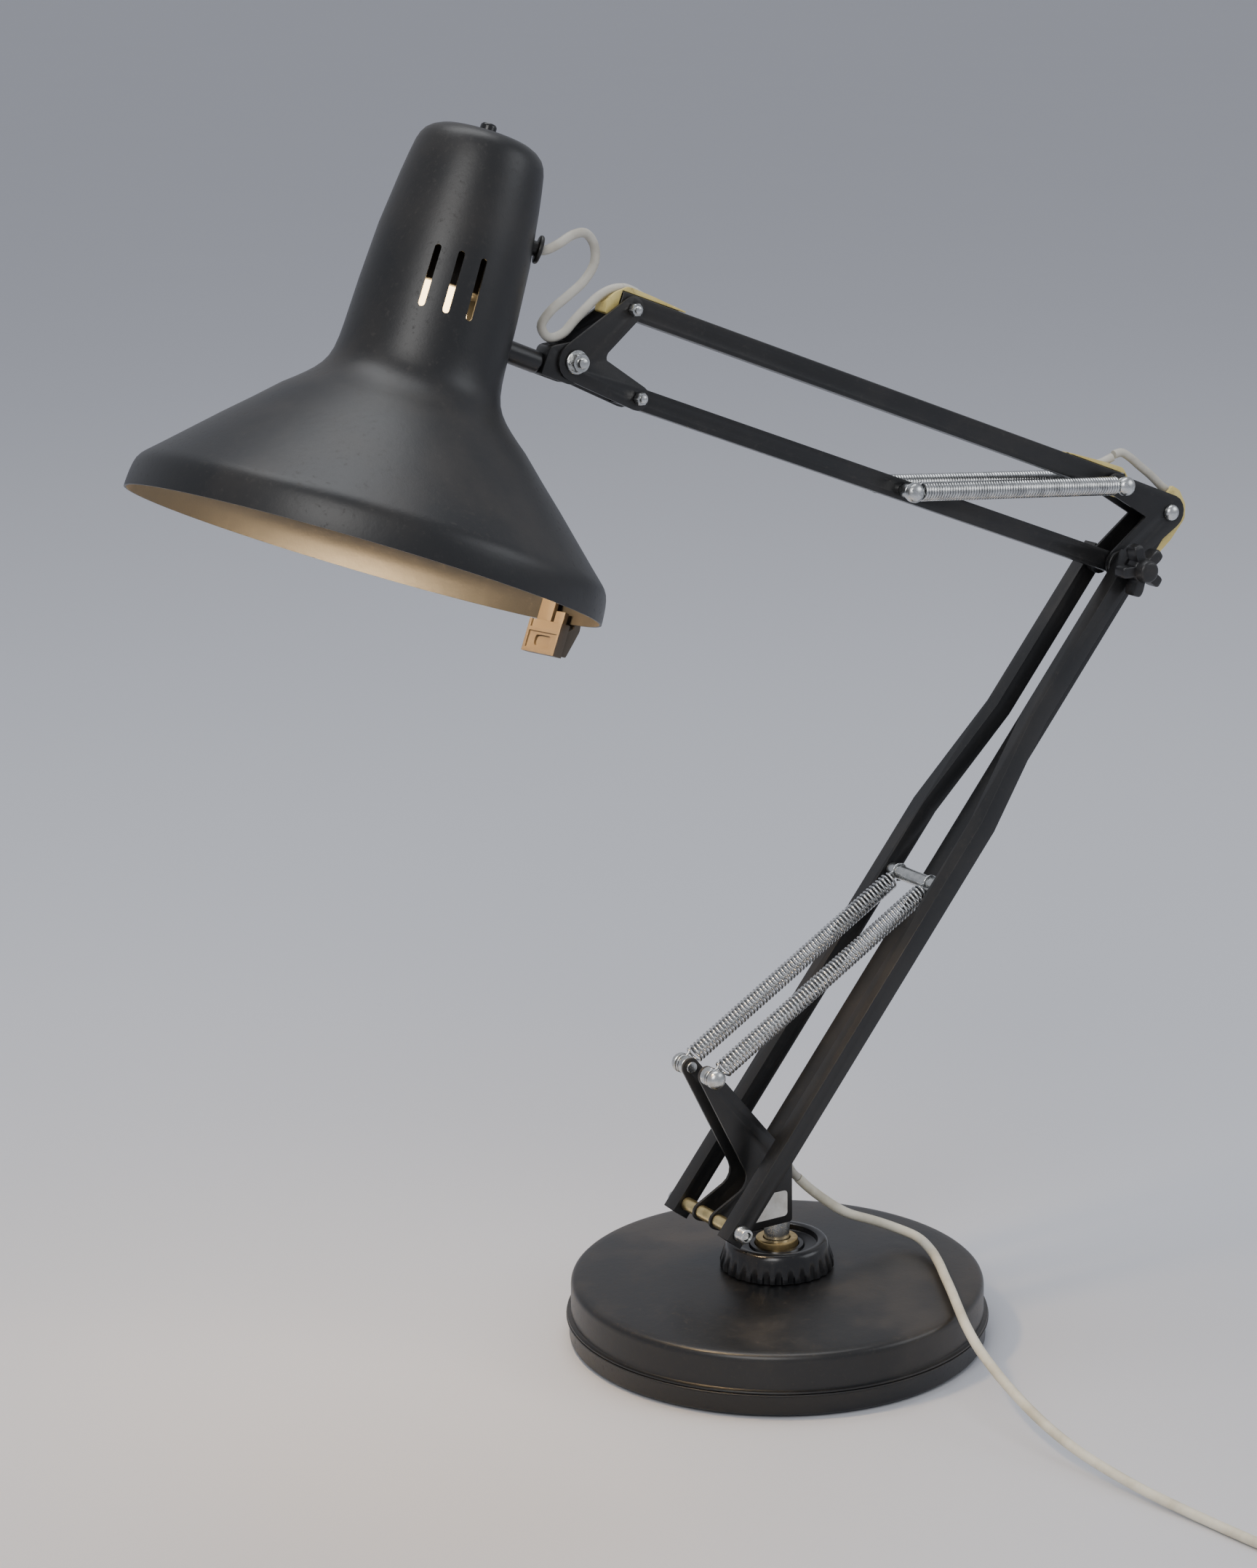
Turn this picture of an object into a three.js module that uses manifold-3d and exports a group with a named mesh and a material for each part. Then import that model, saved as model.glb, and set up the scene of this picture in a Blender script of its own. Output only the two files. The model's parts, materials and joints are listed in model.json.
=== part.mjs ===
// Balanced-arm desk lamp on a round weighted base.
// Millimetres, +Z up. The arms move in the XZ plane, the head points towards -X,
// every arm pivot runs along Y. The origin is the centre of the base, on the table.
import * as THREE from 'three';
import { mergeVertices } from 'three/addons/utils/BufferGeometryUtils.js';
import Module from 'manifold-3d';

const wasm = await Module();
wasm.setup();

// ---- driving dimensions -------------------------------------------------

const gap = 0.3;

const base = { ledgeRadius: 107.5, wallRadius: 105, panRadius: 106, seam: 13.2, shoulder: 32.4, crown: 36.6 };
const weight = { radius: 98, top: 20.5 };
const collar = { bottomRadius: 29, topRadius: 25.6, bottom: 37.2, top: 51.6, ribs: 28 };
const post = { radius: 6.5, bottom: 12, top: 62.2 };
const bush = { inner: 6.9, outer: 10.8, top: 52.6 };

const sheet = 1.5;
const plateInner = 6.2;
const barHeight = 10;
const outerBar = { width: 9, lowInner: 20, highInner: 10, bendFrom: 238, bendTo: 300, tail: 6.5 };
const channel = { width: 11.2, depth: 11, wall: 1, cordSide: 6.5 };

const lowerArmLength = 392.3;
const lowerArmAngle = 50.9;
const upperArmLength = 308.7;
const upperArmAngle = 158.7;
const frontPivot = new THREE.Vector2(-41.2, 72.5);
const rearOffset = new THREE.Vector2(34.3, 23);
const topOffset = new THREE.Vector2(-2.2, 41.6);
const tiltOffset = new THREE.Vector2(-33.6, 19.9);
const springStud = new THREE.Vector2(-46.4, 150);
const crossPinAt = 200;
const upperSpringAt = 144.5;

const spring = { coilRadius: 4.9, wire: 1.3, side: 13.2 };
const cordRadius = 2.2;
const mainsRadius = 2.5;

const head = { tilt: 22.9, turn: -4.4, stub: 74, drop: 6, rim: -110, sheet: 1 };

const mainsRoute = [
  [13.1, 0, 81.2], [18.6, -0.4, 75.4], [28, -1, 67], [41, -2.4, 57.2], [58, -4, 49.4], [70, -7, 43.6],
  [76.4, -16, 40.4], [74.4, -30, 38.8], [68, -46, 38.2], [60, -62, 38], [51.6, -79, 37.6], [43.6, -95, 36.6],
  [36.6, -111, 34], [31.6, -127, 30], [28.4, -142, 26.4], [26.6, -156, 22.6], [25.4, -172, 18.4],
  [25.2, -190, 13.8], [26.4, -210, 9.6], [28.8, -232, 6.6], [31.8, -255, 4.6], [35.4, -276, 3.4],
  [39, -298, 2.8], [42.6, -322, 2.8], [47, -340, 2.8], [51.4, -358, 2.8], [53.5, -374.2, 2.8],
];
const coil = { x: 91, y: -396.2, inner: 18.8, outer: 41.1, height: 10.6 };
const plug = { x: 129.5, y: -369.4, axis: 6.9, depth: 35, pinSpacing: 19, pinLength: 19 };

// ---- helpers ------------------------------------------------------------

const degrees = THREE.MathUtils.degToRad;
const group = new THREE.Group();

function toManifold(geometry) {
  const bare = geometry.clone();
  bare.deleteAttribute('normal');
  bare.deleteAttribute('uv');
  const merged = mergeVertices(bare, 1e-4);
  return new wasm.Manifold(new wasm.Mesh({
    numProp: 3,
    vertProperties: new Float32Array(merged.attributes.position.array),
    triVerts: new Uint32Array(merged.index.array),
  }));
}

function toGeometry(manifold) {
  const mesh = manifold.getMesh();
  const geometry = new THREE.BufferGeometry();
  geometry.setAttribute('position', new THREE.BufferAttribute(mesh.vertProperties, 3));
  geometry.setIndex(new THREE.BufferAttribute(mesh.triVerts, 1));
  geometry.computeVertexNormals();
  return geometry;
}

function cut(body, ...tools) {
  let result = toManifold(body);
  for (const tool of tools) result = result.subtract(toManifold(tool));
  return toGeometry(result);
}

function join(...bodies) {
  let result = toManifold(bodies[0]);
  for (const body of bodies.slice(1)) result = result.add(toManifold(body));
  return toGeometry(result);
}

function add(name, geometry, colour, roughness, metalness, parent = group) {
  const material = new THREE.MeshStandardMaterial({ color: colour, roughness, metalness });
  const mesh = new THREE.Mesh(geometry, material);
  mesh.name = name;
  parent.add(mesh);
  return mesh;
}

const paint = (name, geometry, parent) => add(name, geometry, 0x1c1c1d, 0.5, 0, parent);
const zinc = (name, geometry, parent) => add(name, geometry, 0xb9bab6, 0.32, 1, parent);
const ivory = (name, geometry, parent) => add(name, geometry, 0xd8cc8c, 0.5, 0, parent);
const flex = (name, geometry, parent) => add(name, geometry, 0xd9d4c2, 0.5, 0, parent);

// An outline with rounded corners; each point is x, z and the radius of its corner.
function outline(corners, perTurn = 16) {
  const points = [];
  corners.forEach(([x, z, radius = 0], i) => {
    const at = new THREE.Vector2(x, z);
    if (!radius) {
      points.push(at);
      return;
    }
    const before = corners[(i + corners.length - 1) % corners.length];
    const after = corners[(i + 1) % corners.length];
    const a = new THREE.Vector2(before[0], before[1]).sub(at).normalize();
    const b = new THREE.Vector2(after[0], after[1]).sub(at).normalize();
    const half = Math.acos(THREE.MathUtils.clamp(a.dot(b), -1, 1)) / 2;
    const centre = a.clone().add(b).normalize().multiplyScalar(radius / Math.sin(half)).add(at);
    const from = a.clone().multiplyScalar(radius / Math.tan(half)).add(at).sub(centre);
    const to = b.clone().multiplyScalar(radius / Math.tan(half)).add(at).sub(centre);
    let turn = to.angle() - from.angle();
    if (turn > Math.PI) turn -= 2 * Math.PI;
    if (turn < -Math.PI) turn += 2 * Math.PI;
    const steps = Math.max(1, Math.ceil((Math.abs(turn) / (2 * Math.PI)) * perTurn));
    for (let s = 0; s <= steps; s += 1) {
      const angle = from.angle() + (turn * s) / steps;
      points.push(new THREE.Vector2(Math.cos(angle), Math.sin(angle)).multiplyScalar(radius).add(centre));
    }
  });
  return new THREE.Shape(points);
}

// The outline around two circles of different size.
function taper(a, radiusA, b, radiusB, segments = 9) {
  const along = b.clone().sub(a);
  const lean = Math.acos((radiusA - radiusB) / along.length());
  const points = [];
  for (let s = 0; s <= segments; s += 1) {
    const angle = along.angle() + lean + ((2 * Math.PI - 2 * lean) * s) / segments;
    points.push(new THREE.Vector2(Math.cos(angle), Math.sin(angle)).multiplyScalar(radiusA).add(a));
  }
  for (let s = 0; s <= segments; s += 1) {
    const angle = along.angle() - lean + (2 * lean * s) / segments;
    points.push(new THREE.Vector2(Math.cos(angle), Math.sin(angle)).multiplyScalar(radiusB).add(b));
  }
  return new THREE.Shape(points);
}

// A shape drawn in XZ, standing from y = from to y = to.
function slab(shape, from, to) {
  return new THREE.ExtrudeGeometry(shape, { depth: to - from, bevelEnabled: false })
    .rotateX(Math.PI / 2)
    .translate(0, to, 0);
}

function box(x0, x1, y0, y1, z0, z1) {
  return new THREE.BoxGeometry(x1 - x0, y1 - y0, z1 - z0)
    .translate((x0 + x1) / 2, (y0 + y1) / 2, (z0 + z1) / 2);
}

// A turned piece along Y through a point of the XZ plane; the profile is radius, y.
function turnedY(profile, at, segments = 12) {
  const points = profile.map(([r, y]) => new THREE.Vector2(r, y));
  return new THREE.LatheGeometry(points, segments).translate(at.x, 0, at.y);
}

function turnedZ(profile, segments = 32) {
  const points = profile.map(([r, z]) => new THREE.Vector2(r, z));
  return new THREE.LatheGeometry(points, segments).rotateX(Math.PI / 2);
}

const rod = (radius, from, to, at, segments = 10) => turnedY(
  [[0, from], [radius, from], [radius, to], [0, to]], at, segments);

const ring = (inner, outer, from, to, at, segments = 12) => turnedY(
  [[inner, from], [outer, from], [outer, to], [inner, to], [inner, from]], at, segments);

// A round cord through points given in space.
function cord(points, radius, steps, sides = 8) {
  const section = new THREE.Shape();
  for (let s = 0; s < sides; s += 1) {
    const angle = (2 * Math.PI * s) / sides;
    const x = radius * Math.cos(angle);
    const y = radius * Math.sin(angle);
    if (s) section.lineTo(x, y);
    else section.moveTo(x, y);
  }
  const route = new THREE.CatmullRomCurve3(points.map((p) => new THREE.Vector3(...p)), false, 'centripetal');
  return new THREE.ExtrudeGeometry(section, { steps, extrudePath: route, bevelEnabled: false });
}

// Directions and pivots of the two arms.
const lowerAlong = new THREE.Vector2(Math.cos(degrees(lowerArmAngle)), Math.sin(degrees(lowerArmAngle)));
const upperAlong = new THREE.Vector2(Math.cos(degrees(upperArmAngle)), Math.sin(degrees(upperArmAngle)));
const elbowPivot = lowerAlong.clone().multiplyScalar(lowerArmLength).add(frontPivot);
const rearPivot = frontPivot.clone().add(rearOffset);
const cornerPivot = elbowPivot.clone().add(rearOffset);
const topPivot = elbowPivot.clone().add(topOffset);
const headLow = upperAlong.clone().multiplyScalar(upperArmLength).add(elbowPivot);
const headHigh = headLow.clone().add(topOffset);
const tiltPivot = headLow.clone().add(tiltOffset);
const crossPin = lowerAlong.clone().multiplyScalar(crossPinAt).add(frontPivot);
const upperSpring = upperAlong.clone().multiplyScalar(upperSpringAt).add(elbowPivot);

// Geometry drawn along an arm (x along, z to the side) brought to its pivot.
function onArm(geometry, pivot, angle) {
  return geometry.rotateY(-degrees(angle)).translate(pivot.x, 0, pivot.y);
}

// ---- base ---------------------------------------------------------------

add('felt_pad', turnedZ([[0, 0], [101, 0], [101, 1], [0, 1]]), 0x2b2d2a, 0.95, 0);

paint('base_pan', turnedZ([
  [14, 1.3], [104.6, 1.3], [base.panRadius, 2.7], [base.panRadius, 11.9], [base.ledgeRadius, 11.9],
  [base.ledgeRadius, base.seam - 0.2], [base.panRadius - 1.4, base.seam - 0.2], [base.panRadius - 1.4, 2.9],
  [14, 2.9], [14, 1.3],
], 44));

add('base_weight', turnedZ([
  [bush.outer + 0.4, 10.2], [26, 10.2], [26, 3.2], [weight.radius, 3.2],
  [weight.radius, weight.top], [bush.outer + 0.4, weight.top], [bush.outer + 0.4, 10.2],
]), 0x55524e, 0.8, 0.6);

paint('base_cover', turnedZ([
  [base.wallRadius - 1.5, base.seam + 0.1], [base.ledgeRadius - 0.3, base.seam + 0.1],
  [base.ledgeRadius - 0.3, base.seam + 1.1], [base.wallRadius, base.seam + 1.5],
  [base.wallRadius - 0.1, 29.4], [104.2, 31.2], [102.4, base.shoulder], [99, 32.9], [75, 34.4],
  [50, 35.7], [30, base.crown], [11.2, base.crown], [11.2, base.crown - 1.5], [50, 34.2], [99, 31.4],
  [base.wallRadius - 1.6, 28.9],
  [base.wallRadius - 1.5, base.seam + 0.1],
], 44));

zinc('pivot_bush', turnedZ([
  [bush.inner, 5], [14, 5], [18.6, 5.4], [18.6, 9.8], [bush.outer, 9.8], [bush.outer, bush.top - 0.8],
  [bush.outer - 0.8, bush.top], [bush.inner, bush.top], [bush.inner, 5],
], 18));

{
  const { bottomRadius, topRadius, bottom, top, ribs } = collar;
  const rim = new THREE.Shape();
  for (let s = 0; s < ribs * 4; s += 1) {
    const angle = (2 * Math.PI * s) / (ribs * 4);
    const radius = s % 4 < 2 ? bottomRadius : bottomRadius - 1.5;
    if (s) rim.lineTo(radius * Math.cos(angle), radius * Math.sin(angle));
    else rim.moveTo(radius * Math.cos(angle), radius * Math.sin(angle));
  }
  const ribbed = new THREE.ExtrudeGeometry(rim, { depth: top - bottom, bevelEnabled: false }).translate(0, 0, bottom);
  const cone = turnedZ([
    [bush.outer + 0.5, bottom], [bottomRadius, bottom], [bottomRadius, bottom + 3],
    [topRadius + 0.6, top - 2.4], [topRadius - 0.6, top - 0.5], [topRadius - 2, top], [topRadius - 4.2, top],
    [topRadius - 5.2, top - 3.4], [14.4, top - 4.2], [13.4, top - 2.4], [bush.outer + 0.5, top - 2.4],
    [bush.outer + 0.5, bottom],
  ], ribs * 2);
  const shape = toManifold(ribbed).intersect(toManifold(cone));
  add('clamp_collar', toGeometry(shape), 0x161616, 0.3, 0);
}

// ---- swivelling bracket -------------------------------------------------

zinc('bracket_post', turnedZ([
  [0, post.bottom], [post.radius - 0.8, post.bottom], [post.radius, post.bottom + 0.8],
  [post.radius, post.top], [0, post.top],
], 28));

{
  const side = outline([
    [-70, 186, 4.7], [-20.6, 88.3, 8], [-53, 71.5, 4.8], [-27.3, 62.5, 6], [3.9, 62.5, 1.5], [3.9, 95.9, 2],
  ]);
  const inner = plateInner + 0.5;
  const outer = inner + sheet;
  const folded = join(
    slab(side, -outer, -inner),
    slab(side, inner, outer),
    box(-24, 3.6, -inner - 0.5, inner + 0.5, 62.5, 62.5 + sheet),
  );
  paint('bottom_bracket', cut(
    folded,
    rod(2.5, -20, 20, frontPivot),
    rod(2.3, -20, 20, rearPivot),
    rod(2.2, -20, 20, springStud),
  ));
  add('bracket_label', slab(outline([
    [-30, 66.4, 2], [0.8, 66.4, 2], [0.8, 80, 2], [-22, 80, 2],
  ]), -outer - 0.3, -outer - 0.1), 0xe6e4dc, 0.5, 0);

  const stud = [
    [0, inner - 1.4], [2.9, inner - 1.2], [2.9, inner - 0.1], [1.9, inner - 0.1], [1.9, outer + 0.1],
    [4.7, outer + 0.1], [4.7, 11.6], [3.1, 11.9], [3.1, 14.5], [4.9, 14.8], [4.9, 17],
    [3.2, 18.9], [0, 19.6],
  ];
  zinc('stud_far', turnedY(stud, springStud));
  zinc('stud_near', turnedY(stud.map(([r, y]) => [r, -y]).reverse(), springStud));
}

zinc('rear_pivot_pin', turnedY([
  [0, -10], [2.6, -9.8], [3.6, -8.6], [1.9, -8.5], [1.9, 8.5], [3.6, 8.6], [2.6, 9.8], [0, 10],
], rearPivot));

// ---- lower arm ----------------------------------------------------------

// One outer bar: a square tube that runs in two parallel stretches with a joggle between them.
function jogged(width, height, from, to) {
  const { lowInner, highInner, bendFrom, bendTo, width: full } = outerBar;
  const low = lowInner + full / 2;
  const high = highInner + full / 2;
  const spine = [[from, low], [bendFrom, low], [bendTo, high], [to, high]];
  const lean = Math.tan(Math.atan2(low - high, bendTo - bendFrom) / 2) * (width / 2);
  const shape = new THREE.Shape([
    new THREE.Vector2(spine[0][0], low - width / 2),
    new THREE.Vector2(bendFrom - lean, low - width / 2),
    new THREE.Vector2(bendTo - lean, high - width / 2),
    new THREE.Vector2(to, high - width / 2),
    new THREE.Vector2(to, high + width / 2),
    new THREE.Vector2(bendTo + lean, high + width / 2),
    new THREE.Vector2(bendFrom + lean, low + width / 2),
    new THREE.Vector2(spine[0][0], low + width / 2),
  ]);
  return new THREE.ExtrudeGeometry(shape, { depth: height, bevelEnabled: false }).translate(0, 0, -height / 2);
}

for (const side of [-1, 1]) {
  const tail = outerBar.tail;
  const tube = cut(
    jogged(outerBar.width, barHeight, -tail, lowerArmLength + tail),
    jogged(outerBar.width - 2, barHeight - 2, -tail - 1, lowerArmLength + tail + 1),
  );
  const placed = onArm(tube.scale(1, side, 1), frontPivot, lowerArmAngle);
  if (side < 0) placed.index.array.reverse();
  const name = side < 0 ? 'outer_bar_near' : 'outer_bar_far';
  paint(name, cut(
    placed,
    rod(2.4, -40, 40, frontPivot),
    rod(3.4, -40, 40, elbowPivot),
    side < 0 ? rod(2.8, -26, 0, crossPin) : rod(2.8, 0, 26, crossPin),
  ));
}

zinc('front_pivot_bolt', turnedY([
  [0, -33.6], [2.1, -33.6], [2.1, 29.2], [4, 29.3], [4, 31], [3, 32.4], [0, 32.8],
], frontPivot));
zinc('front_pivot_nut', turnedY([
  [2.4, -35], [3.1, -35], [3.8, -34.2], [3.8, -31.4], [4.3, -30.4], [4.3, -29.3], [2.4, -29.3], [2.4, -35],
], frontPivot, 20));
add('spacer_near', ring(2.5, 3.5, -19.7, -8.6, frontPivot), 0xb59a5a, 0.35, 1);
add('spacer_mid', ring(2.5, 3.5, -6.4, 6.4, frontPivot), 0xb59a5a, 0.35, 1);
add('spacer_far', ring(2.5, 3.5, 8.6, 19.7, frontPivot), 0xb59a5a, 0.35, 1);

{
  const half = [
    [2.5, 25.6], [2.5, 19.8], [3.7, 19.7], [3.7, 14.5], [2.7, 14.3], [2.7, 12.1], [3.7, 11.9],
  ];
  const profile = [[0, 25.6], ...half, ...half.map(([r, y]) => [r, -y]).reverse(), [0, -25.6]];
  zinc('spring_cross_pin', turnedY(profile.reverse(), crossPin));
}

zinc('elbow_bolt', turnedY([
  [0, -31], [2.9, -31], [2.9, 19.2], [6.2, 19.3], [6.2, 22], [4.6, 23.6], [0, 24],
], elbowPivot));
for (const side of [-1, 1]) {
  const from = side < 0 ? -9.7 : plateInner + sheet + gap;
  const to = side < 0 ? -(plateInner + sheet + gap) : 9.7;
  add(side < 0 ? 'elbow_washer_near' : 'elbow_washer_far', ring(3.3, 7, from, to, elbowPivot), 0x1a1a1a, 0.5, 0);
}

{
  // Five-lobed hand knob with a raised round hub.
  const lobes = new THREE.Shape();
  const count = 5;
  const turns = 60;
  for (let s = 0; s < turns; s += 1) {
    const angle = (2 * Math.PI * s) / turns;
    const wave = (1 + Math.cos(count * (angle - 0.62))) / 2;
    const radius = 6.6 + 7.2 * THREE.MathUtils.smoothstep(wave, 0.18, 0.92);
    const x = radius * Math.cos(angle);
    const y = radius * Math.sin(angle);
    if (s) lobes.lineTo(x, y);
    else lobes.moveTo(x, y);
  }
  const star = slab(lobes, -29.5, -21.5).translate(elbowPivot.x, 0, elbowPivot.y);
  const hub = turnedY([
    [0, -34.4], [4.6, -34.2], [5.6, -33], [5.9, -29], [7.4, -28.8], [7.4, -22], [6.4, -19.5], [0, -19.5],
  ], elbowPivot, 20);
  add('elbow_knob', cut(join(star, hub), rod(3.3, -31.4, -10, elbowPivot)), 0x181818, 0.42, 0);
}

// ---- arm channels, open on the side that carries the cord ---------------

function channelBar(length, tail) {
  const { width, depth, wall, cordSide } = channel;
  return cut(
    box(-tail, length + tail, -width / 2, width / 2, cordSide - depth, cordSide),
    box(-tail - 1, length + tail + 1, wall - width / 2, width / 2 - wall, cordSide - depth + wall, cordSide + 1),
  );
}

// The rear bar opens towards the back, the upper bar opens upwards.
const rearAngle = lowerArmAngle + 180;
paint('rear_bar', cut(
  onArm(channelBar(lowerArmLength, 6.3), cornerPivot, rearAngle),
  rod(2.2, -20, 20, rearPivot),
  rod(2.2, -20, 20, cornerPivot),
));

const upperAngle = upperArmAngle - 180;
paint('upper_bar', cut(
  onArm(channelBar(upperArmLength, 6.3), headHigh, upperAngle),
  rod(2.2, -20, 20, topPivot),
  rod(2.2, -20, 20, headHigh),
));

{
  const half = barHeight / 2;
  const solid = slab(outline([
    [-6.3, -half], [upperArmLength + 5.2, -half, 3.4], [upperArmLength + 5.2, half, 3.4], [-6.3, half],
  ]), -5.6, 5.6);
  const hollow = box(-8, upperArmLength + 8, -4.6, 4.6, 1 - barHeight / 2, barHeight / 2 - 1);
  paint('lower_bar', cut(
    onArm(cut(solid, hollow), headLow, upperAngle),
    rod(3.3, -20, 20, elbowPivot),
    rod(2.2, -20, 20, headLow),
    rod(2.6, -20, 20, upperSpring),
  ));
}

// ---- cord routes along the arms -----------------------------------------

// Points of a bar's own frame (along the bar from its end pivot, out on the cord side) in space.
function onBar(pivot, angle, points) {
  const along = new THREE.Vector2(Math.cos(degrees(angle)), Math.sin(degrees(angle)));
  return points.map(([u, v]) => [pivot.x + along.x * u - along.y * v, 0, pivot.y + along.y * u + along.x * v]);
}

const enter = [[-15.5, 0.8], [-10.3, 5.6], [-4.3, 8.2], [2, 8.3], [8, 7], [16, 5.3], [25, 4.4], [34, 4.3]];
const turnIn = [[-10, -4], [-10.6, 1.5], [-9, 6.5], [-4, 9.6], [3, 9.4], [10, 7.3], [18, 5.4], [27, 4.4], [34, 4.3]];
const rise = [[1.4, 12.8], [3.6, 11], [6.4, 8.8], [10, 6.8], [15, 5.2], [24, 4.4], [34, 4.3]];
const upperBack = upperAngle + 180;

function mirrored(points) {
  return points.map(([u, v]) => [u, -v]);
}

// A saddle over the end of a bar: two cheeks and a groove that the cord lies in.
function guide(points, top) {
  const cheek = outline([
    [30, 6.9], [30, 7.5, 0.2], [9.7, top - 0.5, 8], [-4, top, 4], [-9.8, top - 4.4, 5], [-13.2, 0, 3],
    [-12.4, -5.6, 1], [-6.7, -5.6, 0.5], [-6.7, 6.9],
  ]);
  const groove = cord(points.map(([u, v]) => [u, 0, v]), 3.3, 16);
  const first = points[1];
  const open = slab(outline([
    [first[0] - 9, first[1] - 7], [first[0] - 1, first[1] - 1], ...points.slice(2, 5), [14, 20], [-24, 20],
  ]), -3.1, 3.1);
  return cut(slab(cheek, -4.6, 4.6), groove, open);
}

const lift = [[-5, 20], ...rise, [44, 4.3]];
ivory('head_end_guide', onArm(guide([[-20, -6], ...enter, [44, 4.3]], 9.4), headHigh, upperAngle));
ivory('corner_guide', onArm(guide([[-10, -12], ...turnIn, [44, 4.3]], 12.6), cornerPivot, rearAngle));
{
  const flipped = guide(lift, 9.4).scale(-1, 1, 1);
  flipped.index.array.reverse();
  ivory('elbow_end_guide', onArm(flipped, topPivot, upperAngle));
}

// ---- elbow --------------------------------------------------------------

for (const side of [-1, 1]) {
  const from = side < 0 ? -(plateInner + sheet) : plateInner;
  const to = from + sheet;
  const body = join(
    slab(taper(cornerPivot, 9, topPivot, 5.4), from, to),
    slab(taper(cornerPivot, 9, elbowPivot, 7.2), from, to),
    slab(outline([
      [cornerPivot.x - 4, cornerPivot.y - 6], [cornerPivot.x - 2, cornerPivot.y + 5],
      [cornerPivot.x - 17, cornerPivot.y + 2.4], [cornerPivot.x - 15.2, cornerPivot.y - 1.6, 2],
      [cornerPivot.x - 17, cornerPivot.y - 5.4],
    ]), from, to),
  );
  paint(side < 0 ? 'elbow_plate_near' : 'elbow_plate_far', cut(
    body,
    rod(3.3, -20, 20, elbowPivot),
    rod(2.2, -20, 20, topPivot),
    rod(2.2, -20, 20, cornerPivot),
  ));
}

// Spring anchor: a pin with a domed, slotted-looking head at each end and a waist for the hook.
function anchor(at, waist) {
  const half = [
    [waist, 8.1], [3.4, 8.1], [3.4, 11.8], [2.5, 12], [2.5, 14.4], [4.9, 14.7], [4.9, 17],
    [3.2, 19], [0, 19.7],
  ];
  const profile = [...half.map(([r, y]) => [r, -y]).reverse(), ...half];
  return turnedY(profile, at);
}

zinc('top_pivot_pin', anchor(topPivot, 1.9));
zinc('upper_spring_pin', anchor(upperSpring, 2.3));
zinc('corner_rivet', turnedY([
  [0, -11.4], [2.4, -11.1], [3.9, -9.9], [4.3, -8], [1.9, -7.9], [1.9, 7.9], [4.3, 8], [3.9, 9.9],
  [2.4, 11.1], [0, 11.4],
], cornerPivot));

// ---- springs ------------------------------------------------------------

// The coil as a smooth sleeve with a hook ring at each end, round its pins.
function springSolid(from, to, y, ringRadius) {
  const along = to.clone().sub(from);
  const length = along.length();
  const { coilRadius, wire } = spring;
  const inset = ringRadius + wire + 0.6;
  const sleeve = new THREE.LatheGeometry([
    new THREE.Vector2(0, inset), new THREE.Vector2(coilRadius, inset + 0.3),
    new THREE.Vector2(coilRadius, length - inset - 0.3), new THREE.Vector2(0, length - inset),
  ], 14).rotateZ(-Math.PI / 2);
  const hooks = [0, length].map((centre) => {
    const inner = ringRadius - wire / 2;
    const outer = ringRadius + wire / 2;
    const half = wire / 2;
    return new THREE.LatheGeometry([
      new THREE.Vector2(inner, -half), new THREE.Vector2(outer, -half), new THREE.Vector2(outer, half),
      new THREE.Vector2(inner, half), new THREE.Vector2(inner, -half),
    ], 14).translate(centre, 0, 0);
  });
  const links = [[ringRadius, inset + 1], [length - inset - 1, length - ringRadius]].map(
    ([a, b]) => box(a, b, -wire / 2, wire / 2, -wire, wire));
  const whole = join(sleeve, ...hooks, ...links);
  return whole.rotateY(-along.angle()).translate(from.x, y, from.y);
}

for (const side of [-1, 1]) {
  const tag = side < 0 ? 'near' : 'far';
  zinc(`lower_spring_${tag}`, springSolid(springStud, crossPin, side * spring.side, 4.2));
  zinc(`upper_spring_${tag}`, springSolid(upperSpring, topPivot, side * spring.side, 3.6));
}

// ---- head bracket -------------------------------------------------------

for (const side of [-1, 1]) {
  const from = side < 0 ? -(plateInner + sheet) : plateInner;
  const to = from + sheet;
  const body = join(
    slab(taper(tiltPivot, 9, headHigh, 5.9), from, to),
    slab(taper(tiltPivot, 9, headLow, 5.9), from, to),
    slab(outline([
      [tiltPivot.x + 3, tiltPivot.y - 6], [tiltPivot.x + 18.4, tiltPivot.y - 4.6],
      [tiltPivot.x + 16.2, tiltPivot.y + 0.4, 3], [tiltPivot.x + 18.6, tiltPivot.y + 4.8],
      [tiltPivot.x + 3, tiltPivot.y + 6],
    ]), from, to),
  );
  paint(side < 0 ? 'head_plate_near' : 'head_plate_far', cut(
    body,
    rod(2.2, -20, 20, headHigh),
    rod(2.2, -20, 20, headLow),
    rod(3, -20, 20, tiltPivot),
  ));
}

const hexagon = (radius, from, to, at) => rod(radius, from, to, at, 6);
function smallBolt(at) {
  return join(
    turnedY([
      [0, -13], [1.2, -12.9], [1.9, -12.4], [1.9, 8], [3.2, 8], [3.2, 9.6], [2.2, 10.8], [0, 11],
    ], at),
    hexagon(3.2, -11.6, -8.1, at),
  );
}
zinc('head_top_bolt', smallBolt(headHigh));
zinc('head_bottom_bolt', smallBolt(headLow));
zinc('tilt_bolt', join(
  turnedY([
    [0, -15.4], [1.8, -15.2], [2.7, -14.2], [2.7, 8], [5.4, 8], [5.4, 9.2], [4.6, 9.4], [4.6, 12], [0, 12.4],
  ], tiltPivot),
  hexagon(4.7, -13, -9.2, tiltPivot),
  ring(2, 5.6, -9.3, -8.1, tiltPivot),
));

// ---- tilting head: x runs along the stub away from the neck, z along the shade axis ----

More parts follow.
